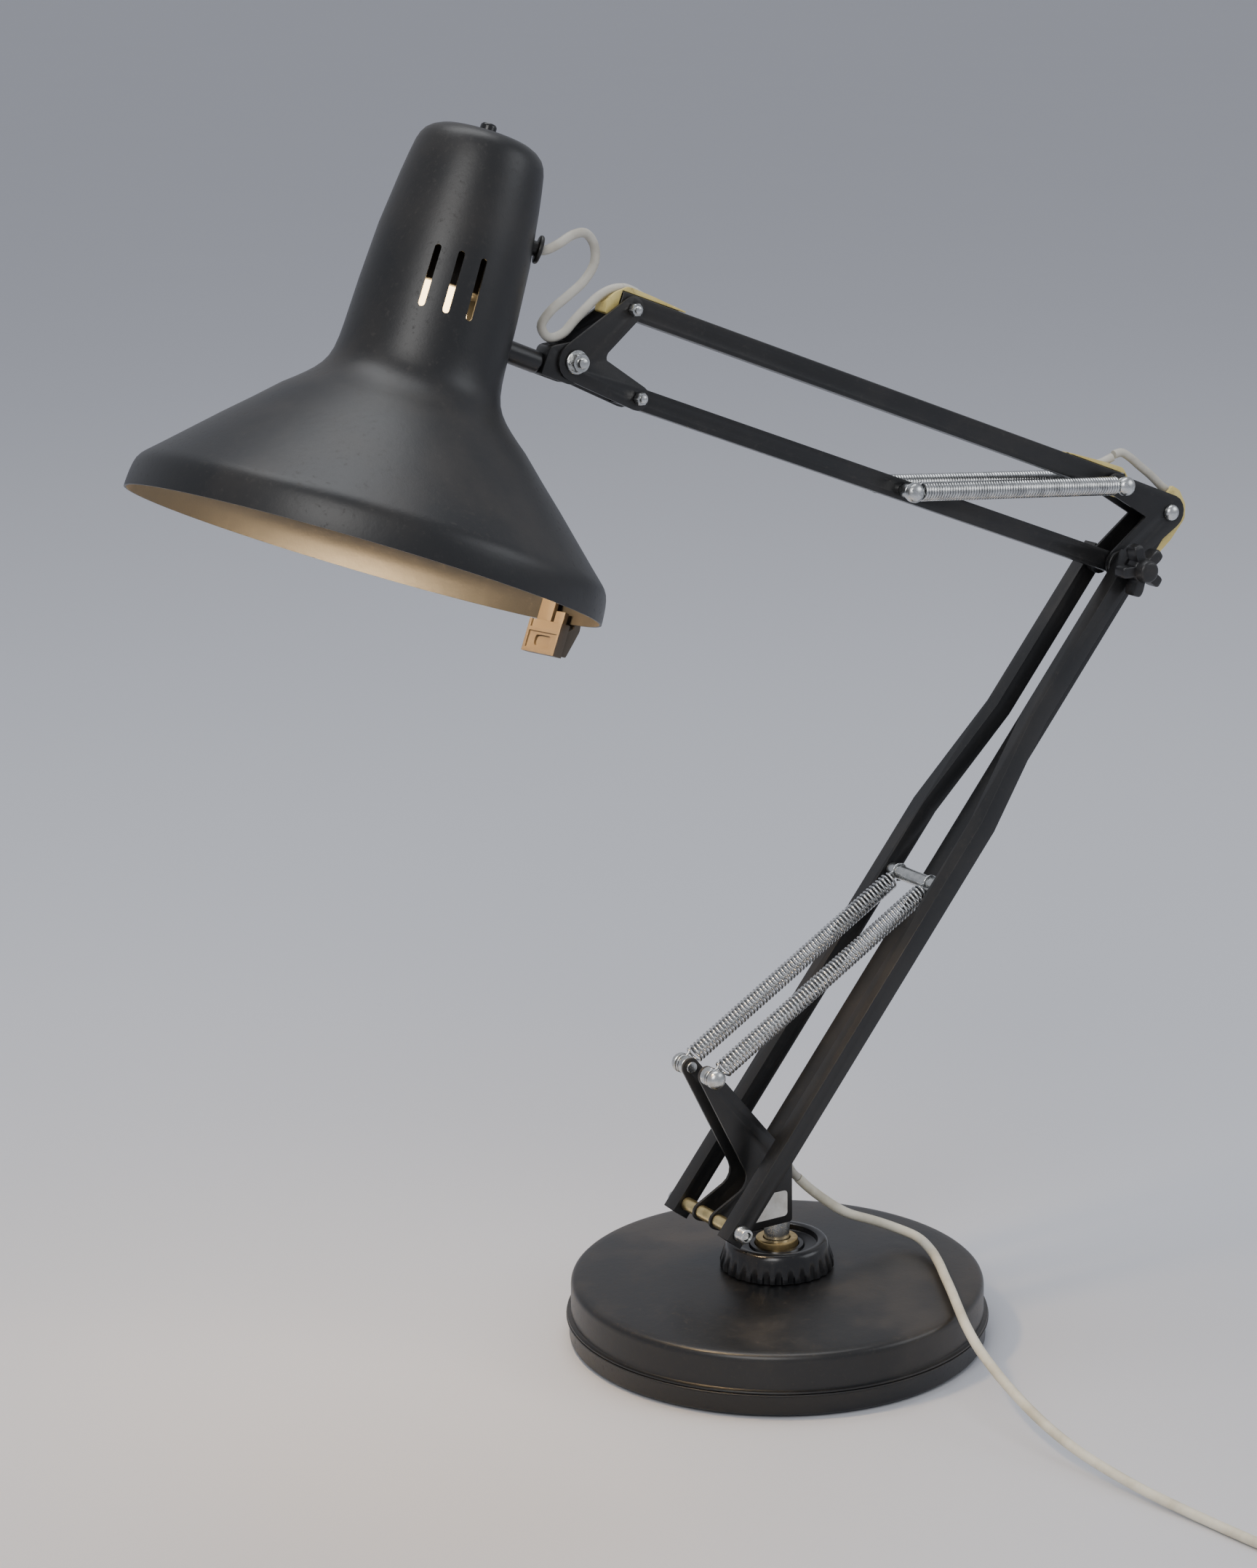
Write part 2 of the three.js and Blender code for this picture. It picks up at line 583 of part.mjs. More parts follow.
const tilting = new THREE.Group();
const stubLean = degrees(head.tilt);
tilting.position.set(
  tiltPivot.x - head.stub * Math.cos(stubLean) - head.drop * Math.sin(stubLean),
  0,
  tiltPivot.y + head.stub * Math.sin(stubLean) - head.drop * Math.cos(stubLean),
);
tilting.rotation.y = stubLean;
group.add(tilting);
const turning = new THREE.Group();
turning.rotation.x = degrees(head.turn);
tilting.add(turning);

function turnedX(profile, segments = 14) {
  const points = profile.map(([r, x]) => new THREE.Vector2(r, x));
  return new THREE.LatheGeometry(points, segments).rotateZ(-Math.PI / 2);
}

{
  const side = outline([
    [59.6, -4.8, 1], [82, -4.6, 7], [82.4, 13.2, 8], [70, 14.4, 5], [59.6, 8.4, 3],
  ]);
  const pivot = new THREE.Vector2(head.stub, head.drop);
  paint('tilt_knuckle', cut(
    slab(side, -5.8, 5.8),
    box(61.2, 90, -4.4, 4.4, -10, 20),
    rod(3, -20, 20, pivot),
    turnedX([[0, 50], [3.2, 50], [3.2, 70], [0, 70]]),
  ), tilting);
}
paint('shade_stub', turnedX([
  [0, 21], [3.9, 21], [3.9, 38.2], [5.3, 38.3], [5.3, 58.2], [4.6, 59.2], [2.9, 59.3], [2.9, 64], [0, 64],
]), tilting);
zinc('stub_nut', turnedX([[5, 27.6], [8.2, 27.6], [8.2, 33.4], [5, 33.4], [5, 27.6]], 6), turning);

// Outer line of the shade: radius and height above the stub.
const shadeLine = [
  [111, 0], [110.6, 8], [106, 17.8], [57.2, 64.4], [46.2, 74], [39.8, 84], [37.6, 98], [35.4, 146],
  [30, 187], [27.6, 192.6], [22, 196.6], [4.2, 198.2],
].map(([r, s]) => [r, s + head.rim]);
const shadeLining = [
  [4.2, 197.1], [21.4, 195.6], [29, 187], [34.4, 146], [36.6, 98], [38.8, 83.6], [56.5, 63.6],
  [104.8, 17.6], [109.6, 8], [110, 0],
].map(([r, s]) => [r, s + head.rim]);

{
  const shell = turnedZ([...shadeLine, ...shadeLining, shadeLine[0]], 40);
  const slots = [];
  for (const middle of [-113, 113]) {
    for (const step of [-17.3, 0, 17.3]) {
      slots.push(box(20, 50, -1.5, 1.5, 0.8, 29.4).rotateZ(degrees(middle + step)));
    }
  }
  const entry = turnedX([[0, 20], [4, 20], [4, 50], [0, 50]]).translate(0, 0, 46).rotateZ(degrees(-22));
  const stubHole = turnedX([[0, 20], [4.3, 20], [4.3, 50], [0, 50]]);
  paint('shade', cut(shell, ...slots, entry, stubHole), turning);
}

{
  const flange = turnedX([
    [2.9, 31], [3.5, 31], [3.5, 36.2], [6.4, 36.4], [6.7, 37.2], [6.3, 38.2], [2.9, 38.4], [2.9, 31],
  ], 18);
  add('cord_grommet', flange.translate(0, 0, 46).rotateZ(degrees(-22)), 0x141414, 0.5, 0, turning);
}

// Lampholder with the switch housing on top of it, up against the cap of the shade.
add('lamp_socket', turnedZ([
  [0, 44], [14.6, 44], [14.6, 16], [19.5, 16], [19.5, 33.6], [17.4, 34], [17.4, 62], [15, 66], [15, 84],
  [12, 86.3], [4.3, 86.3], [4.3, 79], [6.6, 79], [6.6, 71], [0, 71],
], 18), 0x202022, 0.45, 0, turning);

add('bulb', turnedZ([
  [0, -72.4], [7, -71.8], [15, -69], [23.6, -62], [28.6, -52], [30, -42], [29.2, -33], [25, -20], [18, -6],
  [14, 8], [13.1, 12], [12.9, 38], [4, 42], [0, 42],
], 18), 0xf7ead0, 0.2, 0, turning);

add('switch_button', turnedZ([
  [0, 74], [6, 74], [6, 76], [3.8, 76.2], [3.8, 92.4], [3, 93.2], [0, 93.2],
], 24), 0x131313, 0.35, 0, turning);

// ---- clip on the rim ----------------------------------------------------

{
  const clip = new THREE.Group();
  clip.rotation.z = degrees(1);
  turning.add(clip);
  const rim = head.rim;
  const foot = rim - 16.5;
  const jaw = join(
    box(104.8, 108.6, -13.5, 13.5, foot, rim - 0.8),
    box(103.8, 105.2, -13.5, -11.5, foot, rim - 0.8),
    box(103.8, 105.2, 11.5, 13.5, foot, rim - 0.8),
    box(103.8, 105.2, -12, 12, foot, foot + 2),
    box(103.8, 105.2, -12, 12, rim - 6.4, rim - 4.6),
    box(105, 107, -2, 9.5, rim - 2, rim + 11),
    box(105, 107.2, -12, -4.6, rim - 2, rim + 4.5),
  );
  const recess = slab(outline([
    [-6.4, -2.6, 2], [6.4, -2.6, 2], [6.4, 2.6, 2], [-6.4, 2.6, 2],
  ]), -1, 1).rotateZ(Math.PI / 2).translate(105.2, 0, rim - 10.4);
  add('clip_body', cut(jaw, recess), 0x2c2a27, 0.5, 0, clip);
  const lever = slab(outline([
    [109.4, foot + 1, 0.8], [112.2, foot + 1, 1], [115.8, rim - 2, 3], [114.6, rim + 9, 0.8],
    [111.9, rim + 9, 0.4], [111.9, rim - 1.4, 0.6], [109.4, rim - 3.4, 0.6],
  ]), -12, 12);
  add('clip_lever', lever, 0x2c2a27, 0.5, 0, clip);
}

// ---- cords --------------------------------------------------------------

// From the neck in a loose S to the upper bar, along its channel to the elbow end.
flex('upper_cord', cord([
  [-141.6, -7.7, 564.5], [-138, -9.2, 563.1], [-133.4, -11.2, 561.6], [-126.6, -12.2, 563.8], [-117.4, -10.4, 567.4],
  [-109, -8, 567.4],
  [-103.4, -6, 561.6], [-102.4, -4.6, 553.4], [-107, -3.4, 545.6], [-115.6, -2.4, 538.8],
  [-124.6, -1.6, 532.4], [-129.2, -1, 526], [-125.4, -0.6, 520.4], [-117.8, -0.3, 521.4],
  [-110.4, 0, 527.4], [-104.3, 0, 532.3], ...onBar(headHigh, upperAngle, enter),
  ...onBar(headHigh, upperAngle, [[100, 4.3], [200, 4.3]]),
  ...onBar(topPivot, upperBack, mirrored([...rise].reverse())),
], cordRadius, 60));

// Over the elbow, round the corner into the rear bar and down to its foot.
flex('lower_cord', cord([
  [208.6, 0, 432.2], [213.4, 0, 432.8], [219, 0, 429.8], [226, 0, 424.4], [233.4, 0, 418.8], [240.4, 0, 412.6],
  ...onBar(cornerPivot, rearAngle, [...turnIn, [100, 4.3], [200, 4.3], [300, 4.3], [354, 4.3], [364, 4.4]]),
  [10.7, 0, 109.6], [7.2, 0, 103.6], [5.9, 0, 97], [6.8, 0, 90.4], [9.6, 0, 85], [12.7, 0, 81.6],
], cordRadius, 60));

flex('mains_cord', cord(mainsRoute, mainsRadius, 50, 8));
const wound = turnedZ([
  [coil.inner, 0.3], [coil.outer, 0.3], [coil.outer, coil.height], [coil.inner, coil.height], [coil.inner, 0.3],
], 36).translate(coil.x, coil.y, 0);
const leadOut = rod(mainsRadius, coil.y + 6, plug.y - gap, new THREE.Vector2(plug.x, plug.axis));
flex('cord_coil', join(wound, leadOut));

{
  // Flat moulded plug with two round pins, narrow where the lead goes in.
  const body = new THREE.ExtrudeGeometry(outline([
    [-5, 0, 1], [5, 0, 1], [7, 10], [17.5, 26, 6], [17.5, plug.depth, 3], [-17.5, plug.depth, 3], [-17.5, 26, 6],
    [-7, 10],
  ]), { depth: 12.8, bevelEnabled: false }).translate(0, 0, plug.axis - 6.4);
  const pins = [-0.5, 0.5].map((side) => turnedY([
    [0, plug.depth - 4], [2, plug.depth - 4], [2, plug.depth + plug.pinLength - 1],
    [1, plug.depth + plug.pinLength], [0, plug.depth + plug.pinLength],
  ], new THREE.Vector2(side * plug.pinSpacing, plug.axis)));
  add('mains_plug', join(body, ...pins).translate(plug.x, plug.y, 0), 0xd9d4c2, 0.45, 0);
}

export default group;
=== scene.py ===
import json
import math
import random

import bmesh
import bpy
from mathutils import Matrix, Vector

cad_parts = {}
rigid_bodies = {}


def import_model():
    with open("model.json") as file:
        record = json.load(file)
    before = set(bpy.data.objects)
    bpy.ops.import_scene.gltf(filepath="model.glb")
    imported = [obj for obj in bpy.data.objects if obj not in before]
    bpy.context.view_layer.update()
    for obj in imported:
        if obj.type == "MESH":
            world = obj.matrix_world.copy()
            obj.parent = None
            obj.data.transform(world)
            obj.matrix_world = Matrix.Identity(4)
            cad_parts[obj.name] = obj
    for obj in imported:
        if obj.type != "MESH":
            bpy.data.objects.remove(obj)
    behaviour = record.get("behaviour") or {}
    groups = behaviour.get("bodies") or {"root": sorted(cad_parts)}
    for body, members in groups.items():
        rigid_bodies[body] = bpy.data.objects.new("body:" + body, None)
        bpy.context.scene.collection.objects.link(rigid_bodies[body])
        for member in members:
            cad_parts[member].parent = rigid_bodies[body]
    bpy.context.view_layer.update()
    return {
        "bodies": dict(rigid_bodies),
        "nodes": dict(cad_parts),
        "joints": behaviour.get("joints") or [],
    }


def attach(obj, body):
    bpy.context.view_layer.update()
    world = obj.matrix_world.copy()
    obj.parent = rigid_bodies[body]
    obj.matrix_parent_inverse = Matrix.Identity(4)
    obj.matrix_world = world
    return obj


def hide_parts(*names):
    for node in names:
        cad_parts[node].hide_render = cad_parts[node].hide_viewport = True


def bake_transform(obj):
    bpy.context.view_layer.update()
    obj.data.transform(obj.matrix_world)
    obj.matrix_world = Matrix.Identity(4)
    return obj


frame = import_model()
random.seed(11)
nodes = frame["nodes"]
joints = {j["name"]: j for j in frame["joints"]}
print("frame loaded:", len(nodes), "nodes")


def pivotOf(name):
    return Vector(joints[name]["pos_m"])


def mm(*values):
    return Vector([v / 1000 for v in values])


# the arm pivots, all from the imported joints
frontPivot = pivotOf("lower_arm_lift")
rearPivot = pivotOf("rear_link_swing")
elbowPivot = pivotOf("upper_arm_lift")
topPivot = pivotOf("top_link_swing")
headLow = pivotOf("head_level")
tiltPivot = pivotOf("head_tilt")
neckPoint = pivotOf("head_turn")
cornerPivot = elbowPivot + rearPivot - frontPivot
headHigh = headLow + topPivot - elbowPivot
lowerAlong = (elbowPivot - frontPivot).normalized()
upperAlong = (headLow - elbowPivot).normalized()
stubAlong = Vector(joints["head_turn"]["axis"])
shadeUp = -Vector(joints["switch_press"]["axis"])
shadeSide = shadeUp.cross(stubAlong)


camera = {
    "place": (-0.9889, -1.4614, 0.7566),
    "azimuth": -31.74, "pitch": 14.8, "roll": -0.75, "lens": 85.24,
}


def makeCamera(c):
    az, pitch, roll = (math.radians(c[k]) for k in ("azimuth", "pitch", "roll"))
    back = Vector((math.sin(az) * math.cos(pitch), -math.cos(az) * math.cos(pitch), math.sin(pitch)))
    right = Vector((math.cos(az), math.sin(az), 0))
    up = back.cross(right)
    turned = math.cos(roll) * right + math.sin(roll) * up
    upright = back.cross(turned)
    data = bpy.data.cameras.new("viewCamera")
    data.lens = c["lens"]
    data.sensor_width = 36
    data.clip_end = 80
    made = bpy.data.objects.new("viewCamera", data)
    made.matrix_world = Matrix((turned, upright, back)).transposed().to_4x4()
    made.matrix_world.translation = Vector(c["place"])
    bpy.context.scene.collection.objects.link(made)
    bpy.context.scene.camera = made


makeCamera(camera)
print("camera placed")


class Wire:
    # a socket that takes part in sums, each operator adding its Math node
    def __init__(self, tree, socket):
        self.tree = tree
        self.socket = socket

    def maths(self, operation, *values):
        made = self.tree.nodes.new("ShaderNodeMath")
        made.operation = operation
        for slot, value in zip(made.inputs, values):
            if isinstance(value, Wire):
                self.tree.links.new(value.socket, slot)
            else:
                slot.default_value = value
        return Wire(self.tree, made.outputs[0])

    def __add__(self, other):
        return self.maths("ADD", self, other)

    def __radd__(self, other):
        return self.maths("ADD", other, self)

    def __sub__(self, other):
        return self.maths("SUBTRACT", self, other)

    def __rsub__(self, other):
        return self.maths("SUBTRACT", other, self)

    def __mul__(self, other):
        return self.maths("MULTIPLY", self, other)

    def __rmul__(self, other):
        return self.maths("MULTIPLY", other, self)

    def __truediv__(self, other):
        return self.maths("DIVIDE", self, other)

    def __pow__(self, other):
        return self.maths("POWER", self, other)

    def clamp(self):
        return self.maths("MAXIMUM", self.maths("MINIMUM", self, 1.0), 0.0)

    def between(self, low, high):
        # 0 below low, 1 above high, smooth in between
        t = ((self - low) / (high - low)).clamp()
        return t * t * (3 - 2 * t)


class Finish:
    # one Principled material and the few calls that build its nodes
    def __init__(self, name, **surface):
        self.material = bpy.data.materials.new(name)
        self.material.use_nodes = True
        self.tree = self.material.node_tree
        self.shader = self.tree.nodes["Principled BSDF"]
        for key, value in surface.items():
            self.shader.inputs[key.replace("_", " ")].default_value = value

    def node(self, kind, settings=None, out=0, **inputs):
        made = self.tree.nodes.new(kind)
        for key, value in (settings or {}).items():
            if key == "stops":
                ramp = made.color_ramp
                while len(ramp.elements) < len(value):
                    ramp.elements.new(0.5)
                for element, (place, colour) in zip(ramp.elements, value):
                    element.position = place
                    element.color = colour
            else:
                setattr(made, key, value)
        for key, value in inputs.items():
            numbered = key[0] == "n" and key[1:].isdigit()
            slot = made.inputs[int(key[1:]) if numbered else key.replace("_", " ")]
            if isinstance(value, Wire):
                self.tree.links.new(value.socket, slot)
            else:
                slot.default_value = value
        return Wire(self.tree, made.outputs[out])

    def place(self, scale=(1, 1, 1)):
        where = self.node("ShaderNodeTexCoord", out=3)
        return self.node("ShaderNodeMapping", Vector=where, Scale=scale)

    def grain(self, scale, detail=4.0, roughness=0.55, stretch=(1, 1, 1), distortion=0.0):
        return self.node("ShaderNodeTexNoise", Vector=self.place(stretch), Scale=scale, Detail=detail,
                         Roughness=roughness, Distortion=distortion)

    def cells(self, scale):
        return self.node("ShaderNodeTexVoronoi", Vector=self.place(), Scale=scale)

    def mix(self, amount, a, b):
        # colours, as (r, g, b) or a Wire
        full = [c if isinstance(c, Wire) else (*c, 1.0) for c in (a, b)]
        return self.node("ShaderNodeMix", {"data_type": "RGBA"}, out=2, n0=amount, n6=full[0], n7=full[1])

    def facing(self):
        # height of the surface's own normal, 1 on top and -1 underneath
        normal = self.node("ShaderNodeNewGeometry", out=1)
        return self.node("ShaderNodeSeparateXYZ", out=2, Vector=normal)

    def feed(self, **wires):
        for key, wire in wires.items():
            self.tree.links.new(wire.socket, self.shader.inputs[key.replace("_", " ")])
        return self

    def bump(self, height, strength, distance):
        return self.node("ShaderNodeBump", Height=height, Strength=strength, Distance=distance)


def blackEnamel(name, dust, rough):
    f = Finish(name, Specular_IOR_Level=0.5)
    smears = f.grain(14, 5, 0.6)
    specks = f.grain(420, 3, 0.7).between(0.56, 0.72)
    film = (smears.between(0.42, 0.7) * 0.6 + specks * 0.4) * (f.facing().between(-0.4, 1.0) * 0.7 + 0.3)
    f.feed(
        Base_Color=f.mix(film * dust, (0.0085, 0.0088, 0.0095), (0.072, 0.060, 0.048)),
        Roughness=rough + smears * 0.13 + specks * 0.12,
        Normal=f.bump(f.grain(950, 2, 0.5) * 0.5 + f.grain(260, 2, 0.5), 0.16, 0.0003),
    )
    return f.material


def platedZinc(name, colour, rough, brushed=(1, 1, 1)):
    f = Finish(name, Metallic=1.0)
    cloud = f.grain(190, 4, 0.6)
    lines = f.grain(1500, 2, 0.6, brushed)
    f.feed(
        Base_Color=f.mix(cloud.between(0.35, 0.75), colour, tuple(c * 0.62 for c in colour)),
        Roughness=rough + cloud * 0.14 + lines * 0.10,
        Normal=f.bump(lines + cloud * 0.5, 0.18, 0.0001),
    )
    return f.material


def ivoryPlastic():
    f = Finish("ivoryPlastic", Specular_IOR_Level=0.45)
    age = f.grain(46, 4, 0.6)
    grime = f.grain(320, 4, 0.65).between(0.55, 0.75)
    yellowed = f.mix(age.between(0.3, 0.75), (0.72, 0.60, 0.24), (0.60, 0.46, 0.14))
    f.feed(
        Base_Color=f.mix(grime * 0.55, yellowed, (0.22, 0.15, 0.05)),
        Roughness=0.38 + age * 0.2,
        Normal=f.bump(f.grain(700, 2, 0.5), 0.12, 0.0002),
    )
    return f.material


def cableSheath(name, clean, soiled):
    f = Finish(name, Specular_IOR_Level=0.4)
    hand = f.grain(38, 4, 0.6)
    fine = f.grain(600, 3, 0.6)
    f.feed(
        Base_Color=f.mix(hand.between(0.38, 0.72) * 0.8 + fine * 0.15, clean, soiled),
        Roughness=0.42 + hand * 0.2,
        Normal=f.bump(fine + hand * 2, 0.14, 0.0003),
    )
    return f.material


def blackPlastic(name, colour, rough, dust):
    f = Finish(name, Specular_IOR_Level=0.5)
    worn = f.grain(60, 5, 0.6)
    specks = f.grain(520, 3, 0.7).between(0.6, 0.74)
    f.feed(
        Base_Color=f.mix(
            (worn.between(0.45, 0.8) * 0.5 + specks * 0.5) * dust, colour, (0.10, 0.085, 0.07)),
        Roughness=rough + worn * 0.16,
        Normal=f.bump(f.grain(800, 3, 0.6), 0.2, 0.0002),
    )
    return f.material


def shadeLining():
    f = Finish("shadeLining", Specular_IOR_Level=0.4)
    age = f.grain(9, 4, 0.6)
    specks = f.grain(300, 3, 0.7).between(0.62, 0.72)
    f.feed(
        Base_Color=f.mix(age * 0.25 + specks * 0.3, (0.83, 0.80, 0.72), (0.62, 0.55, 0.42)),
        Roughness=0.42 + age * 0.15,
        Normal=f.bump(f.grain(500, 2, 0.5), 0.08, 0.0003),
    )
    return f.material


def opalGlass():
    f = Finish("opalGlass", Roughness=0.25, Emission_Strength=7.0)
    swirl = f.grain(30, 3, 0.5)
    f.feed(
        Base_Color=f.mix(swirl, (0.95, 0.9, 0.8), (0.9, 0.84, 0.72)),
        Emission_Color=f.mix(swirl, (1.0, 0.72, 0.36), (1.0, 0.68, 0.32)),
    )
    return f.material


def feltCloth():
    f = Finish("feltCloth", Sheen_Weight=0.4, Roughness=0.95)
    wool = f.grain(900, 5, 0.8)
    f.feed(
        Base_Color=f.mix(wool, (0.012, 0.014, 0.012), (0.05, 0.055, 0.05)),
        Normal=f.bump(wool, 0.8, 0.0006),
    )
    return f.material


def castIron():
    f = Finish("castIron", Metallic=0.6)
    pits = f.cells(220)
    cloud = f.grain(60, 5, 0.6)
    f.feed(
        Base_Color=f.mix(cloud, (0.075, 0.07, 0.066), (0.14, 0.10, 0.075)),
        Roughness=0.65 + cloud * 0.25,
        Normal=f.bump(pits + cloud, 0.5, 0.0006),
    )
    return f.material


def labelPaper():
    f = Finish("labelPaper", Specular_IOR_Level=0.4)
    stain = f.grain(90, 4, 0.6)
    f.feed(
        Base_Color=f.mix(stain.between(0.4, 0.75) * 0.6, (0.80, 0.79, 0.75), (0.50, 0.46, 0.38)),
        Roughness=0.4 + stain * 0.25,
        Normal=f.bump(f.grain(400, 3, 0.6), 0.1, 0.0002),
    )
    return f.material


def wornSteelEdge():
    # bare edge of the joint block, rubbed through the paint and rusted
    f = Finish("wornSteelEdge", Metallic=0.35)
    rust = f.grain(420, 5, 0.65)
    f.feed(
        Base_Color=f.mix(rust.between(0.35, 0.65), (0.20, 0.13, 0.085), (0.46, 0.17, 0.06)),
        Roughness=0.5 + rust * 0.3,
        Normal=f.bump(rust, 0.5, 0.0004),
    )
    return f.material


enamel = blackEnamel("blackEnamel", 0.55, 0.30)
shadeEnamel = blackEnamel("shadeEnamel", 0.42, 0.34)
baseEnamel = blackEnamel("baseEnamel", 0.75, 0.30)
zinc = platedZinc("platedZinc", (0.66, 0.67, 0.66), 0.16)
springWire = platedZinc("springWire", (0.60, 0.61, 0.61), 0.12)
goldZinc = platedZinc("goldZinc", (0.74, 0.60, 0.30), 0.22)
brassRing = platedZinc("brassRing", (0.70, 0.52, 0.24), 0.24)
ivory = ivoryPlastic()
cableGrey = cableSheath("cableGrey", (0.55, 0.53, 0.47), (0.36, 0.33, 0.27))
mainsIvory = cableSheath("mainsIvory", (0.72, 0.69, 0.58), (0.50, 0.46, 0.35))
knobBlack = blackPlastic("knobBlack", (0.010, 0.010, 0.011), 0.30, 0.5)
collarBlack = blackPlastic("collarBlack", (0.007, 0.007, 0.008), 0.16, 0.35)
holderBlack = blackPlastic("holderBlack", (0.012, 0.011, 0.010), 0.34, 0.3)
clipBrown = blackPlastic("clipBrown", (0.075, 0.058, 0.040), 0.36, 0.6)
washerBlack = blackPlastic("washerBlack", (0.012, 0.012, 0.012), 0.4, 0.4)
lining = shadeLining()
opal = opalGlass()
felt = feltCloth()
iron = castIron()
paper = labelPaper()
rusty = wornSteelEdge()
print("materials made:", len(bpy.data.materials))


def smoothWithEdges(mesh, angle=32):
    mesh.shade_smooth()
    mesh.set_sharp_from_angle(angle=math.radians(angle))


def addPiece(name, mesh, finish, body=None, stands=(), edge=32):
    made = bpy.data.objects.new(name, mesh)
    bpy.context.scene.collection.objects.link(made)
    if edge is not None:
        smoothWithEdges(mesh, edge)
    finishes = finish if isinstance(finish, (list, tuple)) else [finish]
    mesh.materials.clear()
    for f in finishes:
        mesh.materials.append(f)
    if body:
        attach(made, body)
    if stands:
        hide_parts(*stands)
    return made


def frameFrom(axis, hint=Vector((0, 0, 1))):
    # three directions with the last along axis
    z = axis.normalized()
    x = hint - z * hint.dot(z)
    if x.length < 1e-4:
        x = Vector((1, 0, 0)) - z * z.x
    x.normalize()
    return Matrix((x, z.cross(x), z)).transposed()


def turnedMesh(name, profile, place, axis, steps=48, hint=Vector((0, 0, 1))):
    # profile is radius and distance along axis, in millimetres; a radius of 0 closes the end
    basis = frameFrom(axis, hint)
    work = bmesh.new()
    rings = []
    for radius, along in profile:
        if radius < 1e-6:
            rings.append([work.verts.new(place + basis @ mm(0, 0, along))])
        else:
            turns = [2 * math.pi * s / steps for s in range(steps)]
            rings.append([
                work.verts.new(place + basis @ mm(radius * math.cos(a), radius * math.sin(a), along))
                for a in turns])
    for a, b in zip(rings, rings[1:]):
        for s in range(steps):
            t = (s + 1) % steps
            if len(a) == 1 and len(b) == 1:
                continue
            if len(a) == 1:
                work.faces.new((a[0], b[t], b[s]))
            elif len(b) == 1:
                work.faces.new((a[s], a[t], b[0]))
            else:
                work.faces.new((a[s], a[t], b[t], b[s]))
    bmesh.ops.remove_doubles(work, verts=work.verts, dist=1e-7)
    bmesh.ops.recalc_face_normals(work, faces=work.faces)
    mesh = bpy.data.meshes.new(name)
    work.to_mesh(mesh)
    work.free()
    return mesh


def routeThrough(points, spacing=0.0012):
    # centripetal curve through the points, sampled at an even spacing
    pts = [Vector(p) for p in points]
    ends = [2 * pts[0] - pts[1], *pts, 2 * pts[-1] - pts[-2]]
    fine = []
    for a, b, c, d in zip(ends, ends[1:], ends[2:], ends[3:]):
        t0 = 0.0
        t1 = t0 + max((b - a).length ** 0.5, 1e-5)
        t2 = t1 + max((c - b).length ** 0.5, 1e-5)
        t3 = t2 + max((d - c).length ** 0.5, 1e-5)
        for s in range(16):
            t = t1 + (t2 - t1) * s / 16
            a1 = a * ((t1 - t) / (t1 - t0)) + b * ((t - t0) / (t1 - t0))
            a2 = b * ((t2 - t) / (t2 - t1)) + c * ((t - t1) / (t2 - t1))
            a3 = c * ((t3 - t) / (t3 - t2)) + d * ((t - t2) / (t3 - t2))
            b1 = a1 * ((t2 - t) / (t2 - t0)) + a2 * ((t - t0) / (t2 - t0))
            b2 = a2 * ((t3 - t) / (t3 - t1)) + a3 * ((t - t1) / (t3 - t1))
            fine.append(b1 * ((t2 - t) / (t2 - t1)) + b2 * ((t - t1) / (t2 - t1)))
    fine.append(pts[-1])
    return evenly(fine, spacing)


def evenly(points, spacing):
    total = sum((b - a).length for a, b in zip(points, points[1:]))
    count = max(2, round(total / spacing))
    step = total / count
    out = [points[0].copy()]
    walked, wanted = 0.0, step
    for a, b in zip(points, points[1:]):
        length = (b - a).length
        while length > 0 and walked + length >= wanted - 1e-9 and len(out) < count:
            out.append(a.lerp(b, (wanted - walked) / length))
            wanted += step
        walked += length
    out.append(points[-1].copy())
    return out


def tubeMesh(name, points, radius, sides=14, taper=None, capped=True):
    # radius in metres; taper gives a factor for a share of the length
    work = bmesh.new()
    tangents = [
        (points[min(i + 1, len(points) - 1)] - points[max(i - 1, 0)]).normalized()
        for i in range(len(points))
    ]
    normal = frameFrom(tangents[0]).col[0].copy()
    rings = []
    for i, (point, along) in enumerate(zip(points, tangents)):
        normal = (normal - along * normal.dot(along)).normalized()
        across = along.cross(normal)
        r = radius * (taper(i / (len(points) - 1)) if taper else 1)
        rings.append([
            work.verts.new(point + r * (math.cos(2 * math.pi * s / sides) * normal
                                        + math.sin(2 * math.pi * s / sides) * across))
            for s in range(sides)])
    for a, b in zip(rings, rings[1:]):
        for s in range(sides):
            t = (s + 1) % sides
            work.faces.new((a[s], a[t], b[t], b[s]))
    if capped:
        work.faces.new(list(reversed(rings[0])))
        work.faces.new(rings[-1])
    bmesh.ops.recalc_face_normals(work, faces=work.faces)
    mesh = bpy.data.meshes.new(name)
    work.to_mesh(mesh)
    work.free()
    return mesh


def bodyOf(node):
    holder = nodes[node].parent
    return next(name for name, empty in frame["bodies"].items() if empty == holder)


def splitEdges(work, degrees):
    limit = math.radians(degrees)
    return [e for e in work.edges if len(e.link_faces) == 2 and e.calc_face_angle(0) > limit]


